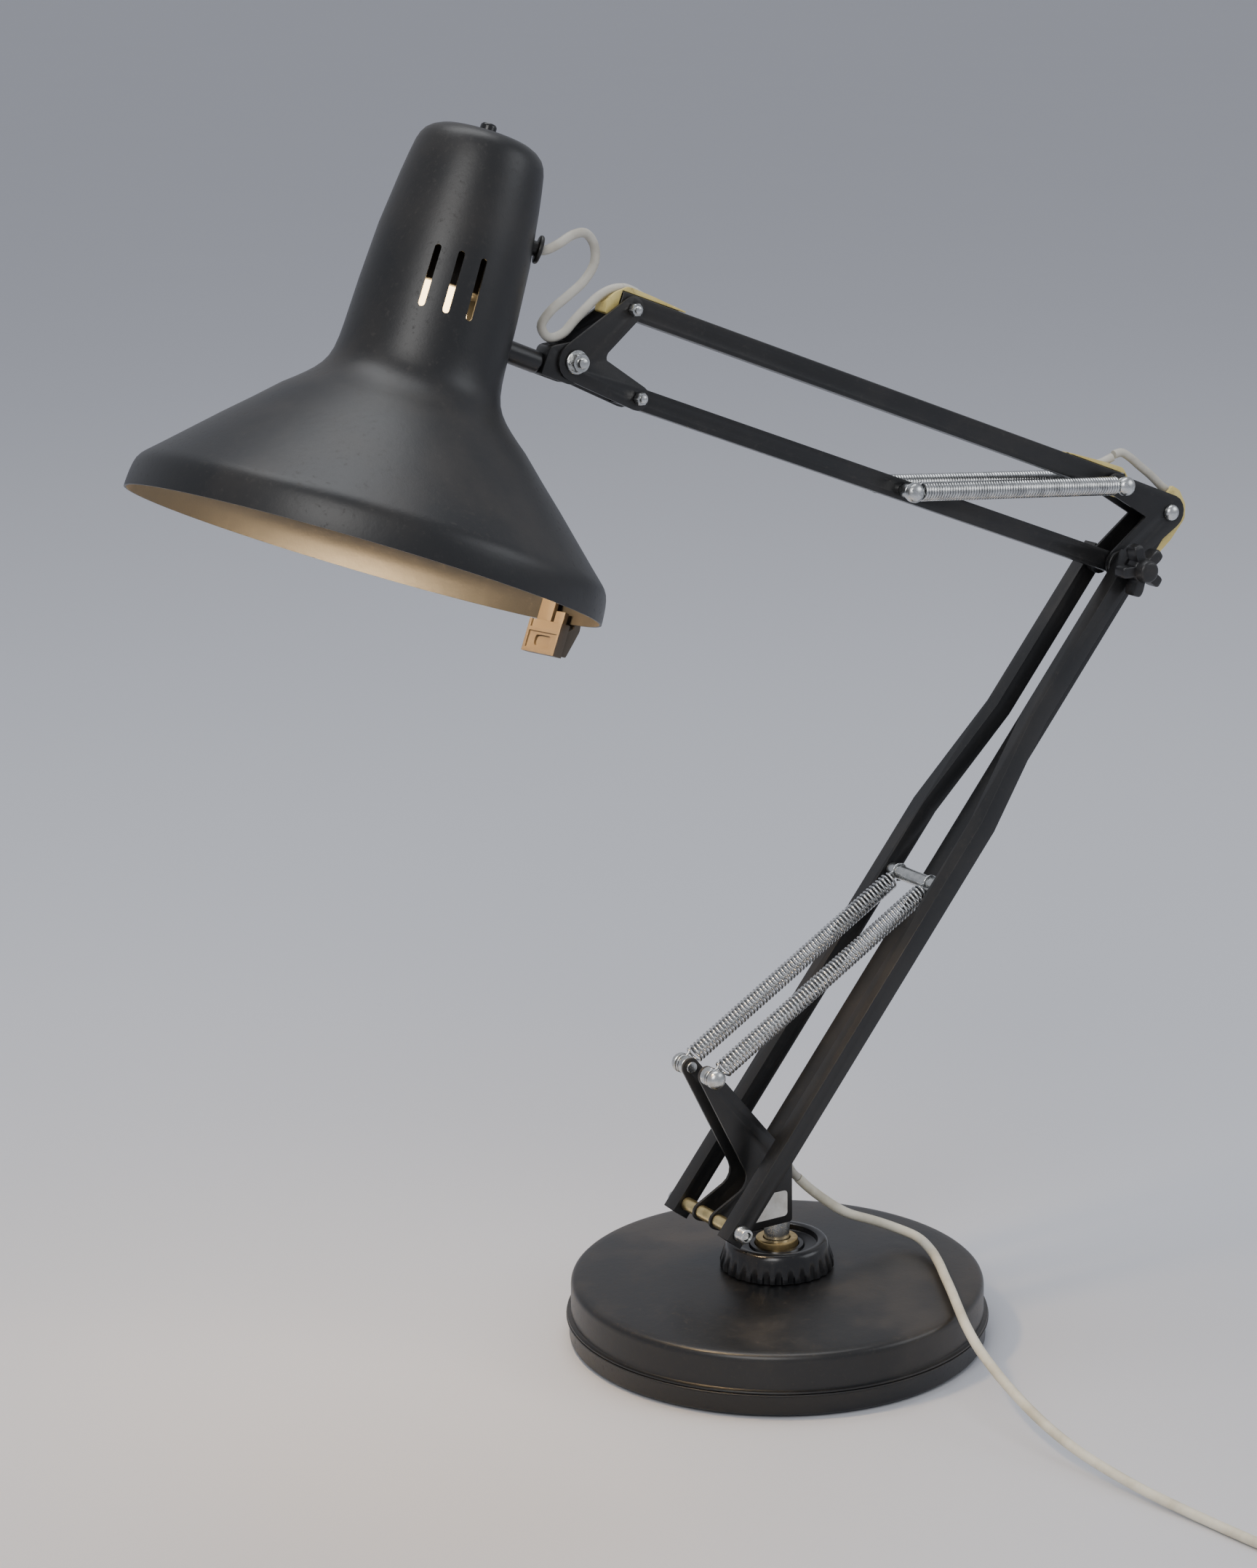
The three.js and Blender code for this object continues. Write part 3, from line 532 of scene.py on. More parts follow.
def refined(name, node, finish, bevel=0.3, rounds=2, choose=None, edge=32):
    # the node's own shape with its corners eased, on the same body
    work = bmesh.new()
    work.from_mesh(nodes[node].data)
    bmesh.ops.remove_doubles(work, verts=work.verts, dist=2e-6)
    bmesh.ops.dissolve_limit(work, angle_limit=math.radians(0.6), verts=work.verts, edges=work.edges)
    if bevel:
        bmesh.ops.bevel(work, geom=splitEdges(work, 26), offset=bevel / 1000, offset_type="OFFSET",
                        segments=rounds, profile=0.5, affect="EDGES", clamp_overlap=True)
    work.normal_update()
    if choose:
        for face in work.faces:
            face.material_index = choose(face)
    else:
        for face in work.faces:
            face.material_index = 0
    mesh = bpy.data.meshes.new(name)
    work.to_mesh(mesh)
    work.free()
    return addPiece(name, mesh, finish, bodyOf(node), (node,), edge)


def turned(name, node, profile, place, axis, finish, steps=48, slot=None, edge=32):
    mesh = turnedMesh(name, profile, place, axis, steps)
    return addPiece(name, mesh, finish, bodyOf(node), (node,), edge)


yAxis = Vector((0, 1, 0))
zAxis = Vector((0, 0, 1))
if stubAlong.x < 0:
    stubAlong = -stubAlong
if shadeUp.z < 0:
    shadeUp = -shadeUp
shadeSide = shadeUp.cross(stubAlong)
tiltUp = stubAlong.cross(yAxis)
neckPoint = tiltPivot - 0.074 * stubAlong - 0.006 * tiltUp
springStud = Vector((frontPivot.x - 0.0052, 0, frontPivot.z + 0.0775))
crossPin = frontPivot + 0.2 * lowerAlong
upperPin = elbowPivot + 0.1445 * upperAlong


def headAt(x, y, z):
    return neckPoint + (x * stubAlong + y * shadeSide + z * shadeUp) / 1000


def onBar(pivot, along, points):
    # u along the bar from its pivot, v out of its open side
    out = Vector((-along.z, 0, along.x))
    return [pivot + (u * along + v * out) / 1000 for u, v in points]


# ---- cords, first of all ----

armCord = {
    "radius": 2.2,
    "enter": [(-15.5, 0.8), (-10.3, 5.6), (-4.3, 8.2), (2, 8.3), (8, 7), (16, 5.3), (25, 4.4), (34, 4.3)],
    "turnIn": [(-10, -4), (-10.6, 1.5), (-9, 6.5), (-4, 9.6), (3, 9.4), (10, 7.3), (18, 5.4), (27, 4.4),
               (34, 4.3)],
    "rise": [(1.4, 12.8), (3.6, 11), (6.4, 8.8), (10, 6.8), (15, 5.2), (24, 4.4), (34, 4.3)],
    "headLoop": [
        (-141.6, -7.7, 564.5), (-138, -9.2, 563.1), (-133.4, -11.2, 561.6), (-126.6, -12.2, 563.8),
        (-117.4, -10.4, 567.4), (-109, -8, 567.4), (-103.4, -6, 561.6), (-102.4, -4.6, 553.4),
        (-107, -3.4, 545.6), (-115.6, -2.4, 538.8), (-124.6, -1.6, 532.4), (-129.2, -1, 526),
        (-125.4, -0.6, 520.4), (-117.8, -0.3, 521.4), (-110.4, 0, 527.4), (-104.3, 0, 532.3)],
    "elbowLoop": [
        (208.6, 0, 432.2), (213.4, 0, 432.8), (219, 0, 429.8), (226, 0, 424.4), (233.4, 0, 418.8),
        (240.4, 0, 412.6)],
    "foot": [(10.7, 0, 109.6), (7.2, 0, 103.6), (5.9, 0, 97), (6.8, 0, 90.4), (9.6, 0, 85),
             (12.7, 0, 81.6)],
}


def nearest(points, where):
    return min(range(len(points)), key=lambda i: (points[i] - where).length)


def cordStretch(name, points, first, last, finish, sides=16, thin=(1, 1)):
    # thin makes an end a hair slimmer so that it hides inside the next stretch
    part = points[first:last + 1]
    if len(part) < 3:
        part = evenly(part, 0.0006)
    share = 0.0022 * 3 / max((part[-1] - part[0]).length, 0.02)

    def taper(t):
        low = thin[0] + (1 - thin[0]) * min(1, t / share)
        high = thin[1] + (1 - thin[1]) * min(1, (1 - t) / share)
        return min(low, high)
    return addPiece(name, tubeMesh(name, part, armCord["radius"] / 1000, sides, taper), finish, edge=60)


def makeArmCords(c):
    head = [mm(*p) for p in c["headLoop"]]
    backwards = -upperAlong
    straight = [(100, 4.3), (200, 4.3)]
    upperRoute = head + onBar(headHigh, backwards, c["enter"]) + onBar(headHigh, backwards, straight)
    upperRoute += onBar(topPivot, upperAlong, [(u, -v) for u, v in reversed(c["rise"])])
    upper = routeThrough(upperRoute, 0.0014)
    down = -lowerAlong
    lowerRoute = [mm(*p) for p in c["elbowLoop"]] + onBar(cornerPivot, down, c["turnIn"])
    lowerRoute += onBar(cornerPivot, down, [(100, 4.3), (200, 4.3), (300, 4.3), (354, 4.3), (364, 4.4)])
    lowerRoute += [mm(*p) for p in c["foot"]]
    lower = routeThrough(lowerRoute, 0.0014)

    turnPoint = nearest(upper, mm(-102.4, -4.6, 553.4))
    mouth = nearest(upper, onBar(headHigh, backwards, [(-4.3, 8.2)])[0])
    guideEnd = nearest(upper, onBar(headHigh, backwards, [(2, 8.3)])[0])
    one = cordStretch("headCordUpper", upper, 0, turnPoint, cableGrey)
    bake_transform(one)
    two = cordStretch("headCordLower", upper, turnPoint, guideEnd, cableGrey, thin=(1, 0.9))
    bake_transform(two)
    three = cordStretch("upperBarCord", upper, mouth, len(upper) - 1, cableGrey)
    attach(three, "top_link")
    cornerIn = nearest(lower, onBar(cornerPivot, down, [(-9, 6.5)])[0])
    cornerEnd = nearest(lower, onBar(cornerPivot, down, [(-1, 9.6)])[0])
    crest = nearest(lower, mm(226, 0, 424.4))
    four = cordStretch("elbowCord", lower, 0, cornerEnd, cableGrey, thin=(1, 0.9))
    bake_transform(four)
    footTop = nearest(lower, onBar(cornerPivot, down, [(354, 4.3)])[0])
    five = cordStretch("rearBarCord", lower, cornerIn, footTop, cableGrey)
    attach(five, "rear_link")
    six = cordStretch("footCord", lower, footTop, len(lower) - 1, cableGrey)
    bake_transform(six)
    for piece in (one, two, three):
        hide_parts("upper_cord")
    for piece in (four, five, six):
        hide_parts("lower_cord")


makeArmCords(armCord)

mainsLead = {
    "radius": 2.5, "exit": (0.0131, 0, 0.0812),
    "route": [
        (13.1, 0, 81.2), (18.6, -0.4, 75.4), (28, -1, 67), (41, -2.4, 57.2), (58, -4, 49.4),
        (70, -7, 43.6), (76.4, -16, 40.4), (74.4, -30, 38.8), (68, -46, 38.2), (60, -62, 38),
        (51.6, -79, 37.6), (43.6, -95, 36.6), (36.6, -111, 34), (31.6, -127, 30), (28.4, -142, 26.4),
        (26.6, -156, 22.6), (25.4, -172, 18.4), (25.2, -190, 13.8), (26.4, -210, 9.6), (28.8, -232, 6.6),
        (31.8, -255, 4.6), (35.4, -276, 3.4), (39, -298, 2.8), (42.6, -322, 2.8), (47, -340, 2.8),
        (51.4, -358, 2.8), (53.5, -374.2, 2.8)],
    "coilCentre": (91, -396.2), "outside": 37.5, "inside": 21.75, "last": 38.5, "low": 2.8, "high": 7.95,
    "plugEntry": (129.5, -369.4, 6.9), "length": 1.705,
}


def coilPoints(c):
    cx, cy = c["coilCentre"]
    points = []
    steps = 48
    for s in range(int(6.5 * steps) + 1):
        turn = s / steps
        if turn <= 3:
            r, z = c["outside"] + (c["inside"] - c["outside"]) * turn / 3, c["low"]
        elif turn <= 3.3:
            t = (turn - 3) / 0.3
            r, z = c["inside"] - 0.3 * t, c["low"] + (c["high"] - c["low"]) * t * t * (3 - 2 * t)
        else:
            r, z = c["inside"] - 0.3 + (c["last"] - c["inside"] + 0.3) * (turn - 3.3) / 3.2, c["high"]
        angle = math.pi + 2 * math.pi * turn
        points.append(mm(cx + r * math.cos(angle), cy + r * math.sin(angle), z))
    return points


def makeMainsLead(c):
    route = routeThrough([mm(*p) for p in c["route"]], 0.0025)
    ex, ey, ez = c["plugEntry"]
    tail = [
        mm(ex, ey - 27 + d, c["high"] + (ez - c["high"]) * d / 27)
        for d in (3, 6, 9, 13, 17, 21, 25, 27)
    ]
    straight = [mm(53.5, y, 2.8) for y in (-378, -382, -386, -390, -393.4)]
    whole = evenly(route + straight + coilPoints(c) + tail, 0.003)
    mesh = tubeMesh("mainsLead", whole, c["radius"] / 1000, 12)
    piece = addPiece("mainsLead", mesh, mainsIvory, edge=60)
    mm(30, -1, 66)
    mm(60, -62, 38)
    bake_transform(piece)
    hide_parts("mains_cord", "cord_coil")
    total = sum((b - a).length for a, b in zip(whole, whole[1:]))
    print("mains lead", round(total, 4), "m")
    return piece, whole


def makePlug(c):
    # moulded flat plug, its two pins and a ribbed sleeve on the lead
    def pins(face):
        return 1 if face.calc_center_median().y * 1000 > c["plugEntry"][1] + 35.2 else 0
    plug = refined("mainsPlug", "mains_plug", [mainsIvory, zinc], 0.9, 3, pins)
    ex, ey, ez = c["plugEntry"]
    ribs = [(2.55, -20)]
    for i in range(7):
        wide = 2.9 + 0.28 * i
        at = -19.5 + 2.7 * i
        ribs += [(wide, at), (wide + 0.35, at + 0.4), (wide + 0.35, at + 1.5), (wide, at + 1.9)]
    ribs += [(4.9, -0.3), (4.9, 1.2), (0, 1.2)]
    sleeveMesh = turnedMesh("plugSleeve", ribs, mm(ex, ey, ez), yAxis, 28)
    sleeve = addPiece("plugSleeve", sleeveMesh, mainsIvory, "base")
    return plug, sleeve


lead, leadPath = makeMainsLead(mainsLead)
plugPieces = makePlug(mainsLead)
print("cords laid")


# ---- base ----

baseTurned = {
    "felt_pad": [(0, 0), (100.4, 0), (101, 0.3), (101, 1), (0, 1)],
    "base_pan": [
        (14, 1.3), (104.2, 1.3), (105.2, 1.6), (106, 2.6), (106, 11.4), (106.4, 11.9), (107.1, 11.95),
        (107.5, 12.3), (107.5, 12.8), (107.2, 13), (104.6, 13), (104.6, 2.9), (14, 2.9), (14, 1.3)],
    "base_cover": [
        (103.5, 13.3), (106.8, 13.3), (107.15, 13.5), (107.2, 14), (107, 14.3), (105.5, 14.5),
        (105.1, 14.8), (105, 15.4), (104.95, 28.4), (104.8, 29.9), (104.3, 31.1), (103.4, 32),
        (102.2, 32.5), (99, 32.95), (88, 33.7), (75, 34.45), (62, 35.1), (50, 35.7), (40, 36.2),
        (30, 36.6), (11.4, 36.6), (11.2, 36.4), (11.2, 35.1), (50, 34.2), (99, 31.4), (103.4, 28.9),
        (103.5, 13.3)],
    "pivot_bush": [
        (6.9, 5), (14, 5), (18.6, 5.4), (18.6, 9.8), (10.8, 9.8), (10.8, 51.4), (10.6, 52.1), (10, 52.55),
        (7.4, 52.6), (7, 52.3), (6.9, 51.8), (6.9, 5)],
    "bracket_post": [(0, 12), (5.7, 12), (6.5, 12.8), (6.5, 62.2), (0, 62.2)],
}
origin = Vector((0, 0, 0))
turned("feltPad", "felt_pad", baseTurned["felt_pad"], origin, zAxis, felt, 96)
turned("basePan", "base_pan", baseTurned["base_pan"], origin, zAxis, baseEnamel, 160, edge=40)
turned("baseCover", "base_cover", baseTurned["base_cover"], origin, zAxis, baseEnamel, 160, edge=40)
turned("pivotBush", "pivot_bush", baseTurned["pivot_bush"], origin, zAxis, brassRing, 64)
turned("bracketPost", "bracket_post", baseTurned["bracket_post"], origin, zAxis, zinc, 48)
refined("baseWeight", "base_weight", iron, 0)

clampCollar = {
    "ribs": 28, "ribDepth": 1.5, "bottomRadius": 29, "perRib": 10,
    "line": [
        (11.3, 37.2), (28.4, 37.2), (29, 37.7), (29, 40.2), (28, 43.4), (27, 46.6), (26.2, 49.2),
        (25.6, 50.5), (24.8, 51.3), (23.6, 51.6), (21.6, 51.6), (20.9, 51.1), (20.4, 48.5), (19.6, 48.1),
        (15, 47.5), (14.2, 47.7), (13.5, 49), (11.6, 49.2), (11.3, 48.9), (11.3, 37.2)],
}


def makeCollar(c):
    work = bmesh.new()
    count = c["ribs"] * c["perRib"]
    rings = []
    for radius, z in c["line"]:
        ring = []
        for s in range(count):
            share = (s % c["perRib"]) / c["perRib"]
            wave = 0.5 + 0.5 * math.cos(2 * math.pi * share)
            rib = min(1, max(0, (wave - 0.25) / 0.5))
            limit = c["bottomRadius"] - c["ribDepth"] * (1 - rib * rib * (3 - 2 * rib))
            r = min(radius, limit) if radius > 15 else radius
            angle = 2 * math.pi * s / count
            ring.append(work.verts.new(mm(r * math.cos(angle), r * math.sin(angle), z)))
        rings.append(ring)
    for a, b in zip(rings, rings[1:]):
        for s in range(count):
            t = (s + 1) % count
            work.faces.new((a[s], a[t], b[t], b[s]))
    bmesh.ops.remove_doubles(work, verts=work.verts, dist=1e-7)
    bmesh.ops.recalc_face_normals(work, faces=work.faces)
    mesh = bpy.data.meshes.new("clampCollar")
    work.to_mesh(mesh)
    work.free()
    addPiece("clampCollar", mesh, collarBlack, "collar", ("clamp_collar",), edge=36)


makeCollar(clampCollar)
print("base made")


# ---- bracket, arms and their plates ----

refined("bottomBracket", "bottom_bracket", enamel, 0.35)
refined("bracketLabel", "bracket_label", paper, 0)
for side in ("near", "far"):
    refined("outerBar_" + side, "outer_bar_" + side, enamel, 1.1, 3)
    refined("elbowPlate_" + side, "elbow_plate_" + side, enamel, 0.35)
    refined("headPlate_" + side, "head_plate_" + side, enamel, 0.35)
for node, label in (("rear_bar", "rearBar"), ("upper_bar", "upperBar"), ("lower_bar", "lowerBar")):
    refined(label, node, enamel, 0.4, 3)
for node, label in (("head_end_guide", "headEndGuide"), ("corner_guide", "cornerGuide"),
                    ("elbow_end_guide", "elbowEndGuide")):
    refined(label, node, ivory, 0.5, 2)

along = yAxis
smallParts = {
    "stud_far": (springStud, zinc, [
        (0, 5.3), (2.7, 5.5), (2.9, 5.8), (2.9, 6.6), (1.9, 6.6), (1.9, 8.3), (4.4, 8.3), (4.7, 8.6),
        (4.7, 11.3), (4.3, 11.6), (3.1, 11.9), (3.1, 14.5), (4.6, 14.7), (4.9, 15), (4.9, 16.6),
        (4.6, 17.5), (3.9, 18.4), (2.8, 19.1), (1.4, 19.5), (0, 19.6)]),
    "rear_pivot_pin": (rearPivot, zinc, [
        (0, -10), (1.5, -9.95), (2.6, -9.7), (3.3, -9.2), (3.6, -8.6), (1.9, -8.5), (1.9, 8.5), (3.6, 8.6),
        (3.3, 9.2), (2.6, 9.7), (1.5, 9.95), (0, 10)]),
    "front_pivot_bolt": (frontPivot, zinc, [
        (0, -33.6), (1.8, -33.6), (2.1, -33.2), (2.1, 29.2), (3.8, 29.25), (4, 29.5), (4, 31), (3.6, 31.8),
        (2.8, 32.4), (1.4, 32.75), (0, 32.8)]),
    "spacer_near": (frontPivot, goldZinc, [(2.5, -19.7), (3.3, -19.7), (3.5, -19.5), (3.5, -8.8),
                                          (3.3, -8.6), (2.5, -8.6), (2.5, -19.7)]),
    "spacer_mid": (frontPivot, goldZinc, [(2.5, -6.4), (3.3, -6.4), (3.5, -6.2), (3.5, 6.2), (3.3, 6.4),
                                         (2.5, 6.4), (2.5, -6.4)]),
    "spacer_far": (frontPivot, goldZinc, [(2.5, 8.6), (3.3, 8.6), (3.5, 8.8), (3.5, 19.5), (3.3, 19.7),
                                         (2.5, 19.7), (2.5, 8.6)]),
    "spring_cross_pin": (crossPin, zinc, [
        (0, -25.6), (2.3, -25.5), (2.5, -25.2), (2.5, -19.9), (3.5, -19.8), (3.7, -19.5), (3.7, -14.7),
        (3.5, -14.5), (2.7, -14.3), (2.7, -12.1), (3.5, -12), (3.7, -11.7), (3.7, 11.7), (3.5, 12),
        (2.7, 12.1), (2.7, 14.3), (3.5, 14.5), (3.7, 14.7), (3.7, 19.5), (3.5, 19.8), (2.5, 19.9),
        (2.5, 25.2), (2.3, 25.5), (0, 25.6)]),
    "elbow_bolt": (elbowPivot, zinc, [
        (0, -31), (2.9, -31), (2.9, 19.2), (6, 19.3), (6.2, 19.6), (6.2, 21.4), (5.8, 22.4), (4.6, 23.4),
        (2.4, 23.9), (0, 24)]),
    "elbow_washer_near": (elbowPivot, washerBlack, [(3.3, -9.7), (6.7, -9.7), (7, -9.4), (7, -8.3),
                                                   (6.7, -8), (3.3, -8), (3.3, -9.7)]),
    "elbow_washer_far": (elbowPivot, washerBlack, [(3.3, 8), (6.7, 8), (7, 8.3), (7, 9.4), (6.7, 9.7),
                                                  (3.3, 9.7), (3.3, 8)]),
    "corner_rivet": (cornerPivot, zinc, [
        (0, -11.4), (1.3, -11.3), (2.4, -11), (3.3, -10.5), (3.9, -9.8), (4.2, -9), (4.3, -8.1),
        (4.2, -7.9), (1.9, -7.9), (1.9, 7.9), (4.2, 7.9), (4.3, 8.1), (4.2, 9), (3.9, 9.8), (3.3, 10.5),
        (2.4, 11), (1.3, 11.3), (0, 11.4)]),
}
studNear = [(r, -y) for r, y in reversed(smallParts["stud_far"][2])]
smallParts["stud_near"] = (springStud, zinc, studNear)
for node, (place, finish, profile) in smallParts.items():
    turned("turned_" + node, node, profile, place, along, finish, 40)


anchorHead = {
    "half": [(8.1, 3.3), (8.3, 3.4), (11.7, 3.4), (12, 2.5), (14.4, 2.5), (14.6, 4.6), (14.9, 4.9),
             (16.8, 4.9), (17.6, 4.6), (18.4, 3.9), (19.1, 2.9), (19.5, 1.6), (19.7, 0)],
    "slotWidth": 1.1, "slotDepth": 1.3,
}


def makeAnchor(name, node, place, waist):
    # domed heads with a screwdriver slot across the near one
    half = [(r, y) for y, r in anchorHead["half"]]
    profile = [(r, -y) for r, y in reversed(half)] + [(waist, -8.05), (waist, 8.05)] + half
    piece = turned(name, node, profile, place, along, zinc, 40)
    cutter = bmesh.new()
    bmesh.ops.create_cube(cutter, size=1.0)
    tilt = Matrix.Rotation(math.radians(34), 4, "Y")
    scale = Matrix.Diagonal((0.014, 2 * anchorHead["slotDepth"] / 1000, anchorHead["slotWidth"] / 1000, 1))
    move = Matrix.Translation(place + mm(0, -19.7, 0))
    cutter.transform(move @ tilt @ scale)
    cutInto(piece, cutter)
    return piece


def cutInto(piece, cutter):
    # takes the cutter out of the piece's mesh and leaves no modifier behind
    mesh = bpy.data.meshes.new("cutter")
    cutter.to_mesh(mesh)
    cutter.free()
    tool = bpy.data.objects.new("cutter", mesh)
    bpy.context.scene.collection.objects.link(tool)
    bare = bpy.data.objects.new("bare", piece.data)
    bpy.context.scene.collection.objects.link(bare)
    step = bare.modifiers.new("cut", "BOOLEAN")
    step.operation = "DIFFERENCE"
    step.solver = "EXACT"
    step.object = tool
    done = bpy.data.meshes.new_from_object(bare.evaluated_get(bpy.context.evaluated_depsgraph_get()))
    done.name = piece.name
    bpy.data.objects.remove(bare)
    bpy.data.objects.remove(tool)
    bpy.data.meshes.remove(mesh)
    piece.data = done
    smoothWithEdges(done)


makeAnchor("springAnchorTop", "top_pivot_pin", topPivot, 1.9)
makeAnchor("springAnchorArm", "upper_spring_pin", upperPin, 2.3)


def hexNut(work, place, radius, low, high, crown=0.25):
    # six flats with turned-off corners, standing along Y
    steps = 48
    rings = []
    for y, inset in ((low, crown), (low + crown, 0), (high - crown, 0), (high, crown)):
        ring = []
        for s in range(steps):
            angle = 2 * math.pi * s / steps
            sector = (angle % (math.pi / 3)) - math.pi / 6
            flat = radius * math.cos(math.pi / 6) / math.cos(sector)
            r = min(flat, radius - inset * 1.2)
            ring.append(work.verts.new(place + mm(r * math.cos(angle), y, r * math.sin(angle))))
        rings.append(ring)
    for a, b in zip(rings, rings[1:]):
        for s in range(steps):
            t = (s + 1) % steps
            work.faces.new((a[s], a[t], b[t], b[s]))
    work.faces.new(rings[0])
    work.faces.new(rings[-1])


def boltWithNut(name, node, place, profile, nut, washer=None):
    work = bmesh.new()
    work.from_mesh(turnedMesh(name, profile, place, along, 36))
    hexNut(work, place, *nut)
    if washer:
        extra = turnedMesh("washer", washer, place, along, 36)
        work.from_mesh(extra)
    bmesh.ops.recalc_face_normals(work, faces=work.faces)
    mesh = bpy.data.meshes.new(name)
    work.to_mesh(mesh)
    work.free()
    return addPiece(name, mesh, zinc, bodyOf(node), (node,))


smallBolt = [(0, -13), (0.9, -12.95), (1.6, -12.7), (1.9, -12.2), (1.9, 8), (3, 8), (3.2, 8.3),
             (3.2, 9.4), (2.9, 10.1), (2.2, 10.7), (1.1, 10.95), (0, 11)]
boltWithNut("headTopBolt", "head_top_bolt", headHigh, smallBolt, (3.2, -11.6, -8.1, 0.4))
boltWithNut("headBottomBolt", "head_bottom_bolt", headLow, smallBolt, (3.2, -11.6, -8.1, 0.4))
tiltBolt = [(0, -15.4), (1.2, -15.35), (2.2, -14.9), (2.7, -14.1), (2.7, 8), (5.2, 8), (5.4, 8.2),
            (5.4, 9), (5.2, 9.2), (4.6, 9.4), (4.6, 11.4), (4.2, 12), (2, 12.35), (0, 12.4)]
tiltWasher = [(2, -9.3), (5.4, -9.3), (5.6, -9.1), (5.6, -8.3), (5.4, -8.1), (2, -8.1), (2, -9.3)]
boltWithNut("tiltBolt", "tilt_bolt", tiltPivot, tiltBolt, (4.7, -13, -9.2, 0.45), tiltWasher)
nearNut = [(2.4, -35), (3, -35), (3.5, -34.7), (3.8, -34.1), (3.8, -31.5), (4.1, -30.9), (4.3, -30.3),
           (4.3, -29.5), (4.1, -29.3), (2.4, -29.3), (2.4, -35)]
turned("frontPivotNut", "front_pivot_nut", nearNut, frontPivot, along, zinc, 40)
print("arms and bolts made")


knob = {
    "lobes": 5, "turn": 0.62, "low": 6.6, "swell": 7.2, "steps": 150,
    "rings": [  # y, how far inside the lobed outline, and 1 for the round hub
        (-19.5, 5.6, 1), (-20, 6.4, 1), (-21.4, 7.2, 1), (-21.5, 2.2, 0), (-21.6, 1, 0), (-22.1, 0.3, 0),
        (-23, 0, 0), (-28, 0, 0), (-28.9, 0.3, 0), (-29.35, 1, 0), (-29.5, 2.2, 0), (-29.5, 6.1, 1),
        (-30.4, 5.8, 1), (-33, 5.6, 1), (-33.8, 5.2, 1), (-34.3, 4.2, 1), (-34.4, 2.6, 1)],
}


def makeKnob(k):
    work = bmesh.new()
    rings = []
    for y, value, hub in k["rings"]:
        ring = []
        for s in range(k["steps"]):
            angle = 2 * math.pi * s / k["steps"]
            wave = (1 + math.cos(k["lobes"] * (angle - k["turn"]))) / 2
            t = min(1, max(0, (wave - 0.18) / 0.74))
            outline = k["low"] + k["swell"] * t * t * (3 - 2 * t)
            r = value if hub else max(outline - value * (0.55 + 0.45 * t), 4.6)
            ring.append(work.verts.new(elbowPivot + mm(r * math.cos(angle), y, r * math.sin(angle))))
        rings.append(ring)
    for a, b in zip(rings, rings[1:]):
        for s in range(k["steps"]):
            t = (s + 1) % k["steps"]
            work.faces.new((a[s], a[t], b[t], b[s]))
    for ring in (rings[0], rings[-1]):
        middle = work.verts.new(sum((v.co for v in ring), Vector()) / len(ring))
        for s in range(k["steps"]):
            work.faces.new((ring[s], ring[(s + 1) % k["steps"]], middle))
    bmesh.ops.recalc_face_normals(work, faces=work.faces)
    mesh = bpy.data.meshes.new("elbowKnob")
    work.to_mesh(mesh)
    work.free()
    addPiece("elbowKnob", mesh, knobBlack, "knob", ("elbow_knob",), edge=38)


makeKnob(knob)


# ---- springs ----

springs = {
    "lower": {
        "from": springStud, "to": crossPin, "ring": 4.2, "wire": 1.3, "coil": 9.8, "pitch": 2.2, "room": 6.4,
    },
    "upper": {
        "from": upperPin, "to": topPivot, "ring": 3.6, "wire": 1.5, "coil": 9.8, "pitch": 1.62, "room": 5.6,
    },
}


def springPath(s, y):
    start, stop = s["from"] + mm(0, y, 0), s["to"] + mm(0, y, 0)
    ahead = (stop - start).normalized()
    up = Vector((-ahead.z, 0, ahead.x))
    length = (stop - start).length * 1000
    coilRadius = (s["coil"] - s["wire"]) / 2
    turns = round((length - 2 * s["room"]) / s["pitch"])
    points = []
    for d in range(-40, -321, -20):
        a = math.radians(d)
        points.append(start + s["ring"] / 1000 * (math.cos(a) * ahead + math.sin(a) * up))
    entry = start + (s["room"] - 0.9) / 1000 * ahead + 0.8 * coilRadius / 1000 * up
    points = routeThrough(points + [entry], 0.0007)
    steps = 14
    span = length - 2 * s["room"]
    for i in range(turns * steps + 1):
        a = 2 * math.pi * i / steps
        points.append(start + (s["room"] + span * i / (turns * steps)) / 1000 * ahead
                      + coilRadius / 1000 * (math.cos(a) * up + math.sin(a) * yAxis))
    hook = [stop - (s["room"] - 0.9) / 1000 * ahead + 0.8 * coilRadius / 1000 * up]
    for d in range(140, -141, -20):
        a = math.radians(d)
        hook.append(stop + s["ring"] / 1000 * (math.cos(a) * ahead + math.sin(a) * up))
    return points + routeThrough(hook, 0.0007)


def makeSpring(name, node, s, y):
    mesh = tubeMesh(name, springPath(s, y), s["wire"] / 2000, 8)
    piece = addPiece(name, mesh, springWire, edge=60)
    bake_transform(piece)
    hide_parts(node)


for side, y in (("near", -13.2), ("far", 13.2)):
    makeSpring("lowerSpring_" + side, "lower_spring_" + side, springs["lower"], y)
    makeSpring("upperSpring_" + side, "upper_spring_" + side, springs["upper"], y)
print("springs wound")


# ---- lamp head ----

def knuckleFaces(face):
    # the underside is rubbed bare
    return 1 if face.normal.dot(tiltUp) < -0.75 else 0


refined("tiltKnuckle", "tilt_knuckle", [enamel, rusty], 0.4, 2, knuckleFaces)
stub = [(0, 21), (3.9, 21), (3.9, 38.2), (5, 38.25), (5.3, 38.6), (5.3, 57.6), (5.1, 58.4), (4.6, 59.1),
        (2.9, 59.3), (2.9, 64), (0, 64)]
turned("shadeStub", "shade_stub", stub, neckPoint, stubAlong, enamel, 48)
refined("stubNut", "stub_nut", zinc, 0.3)

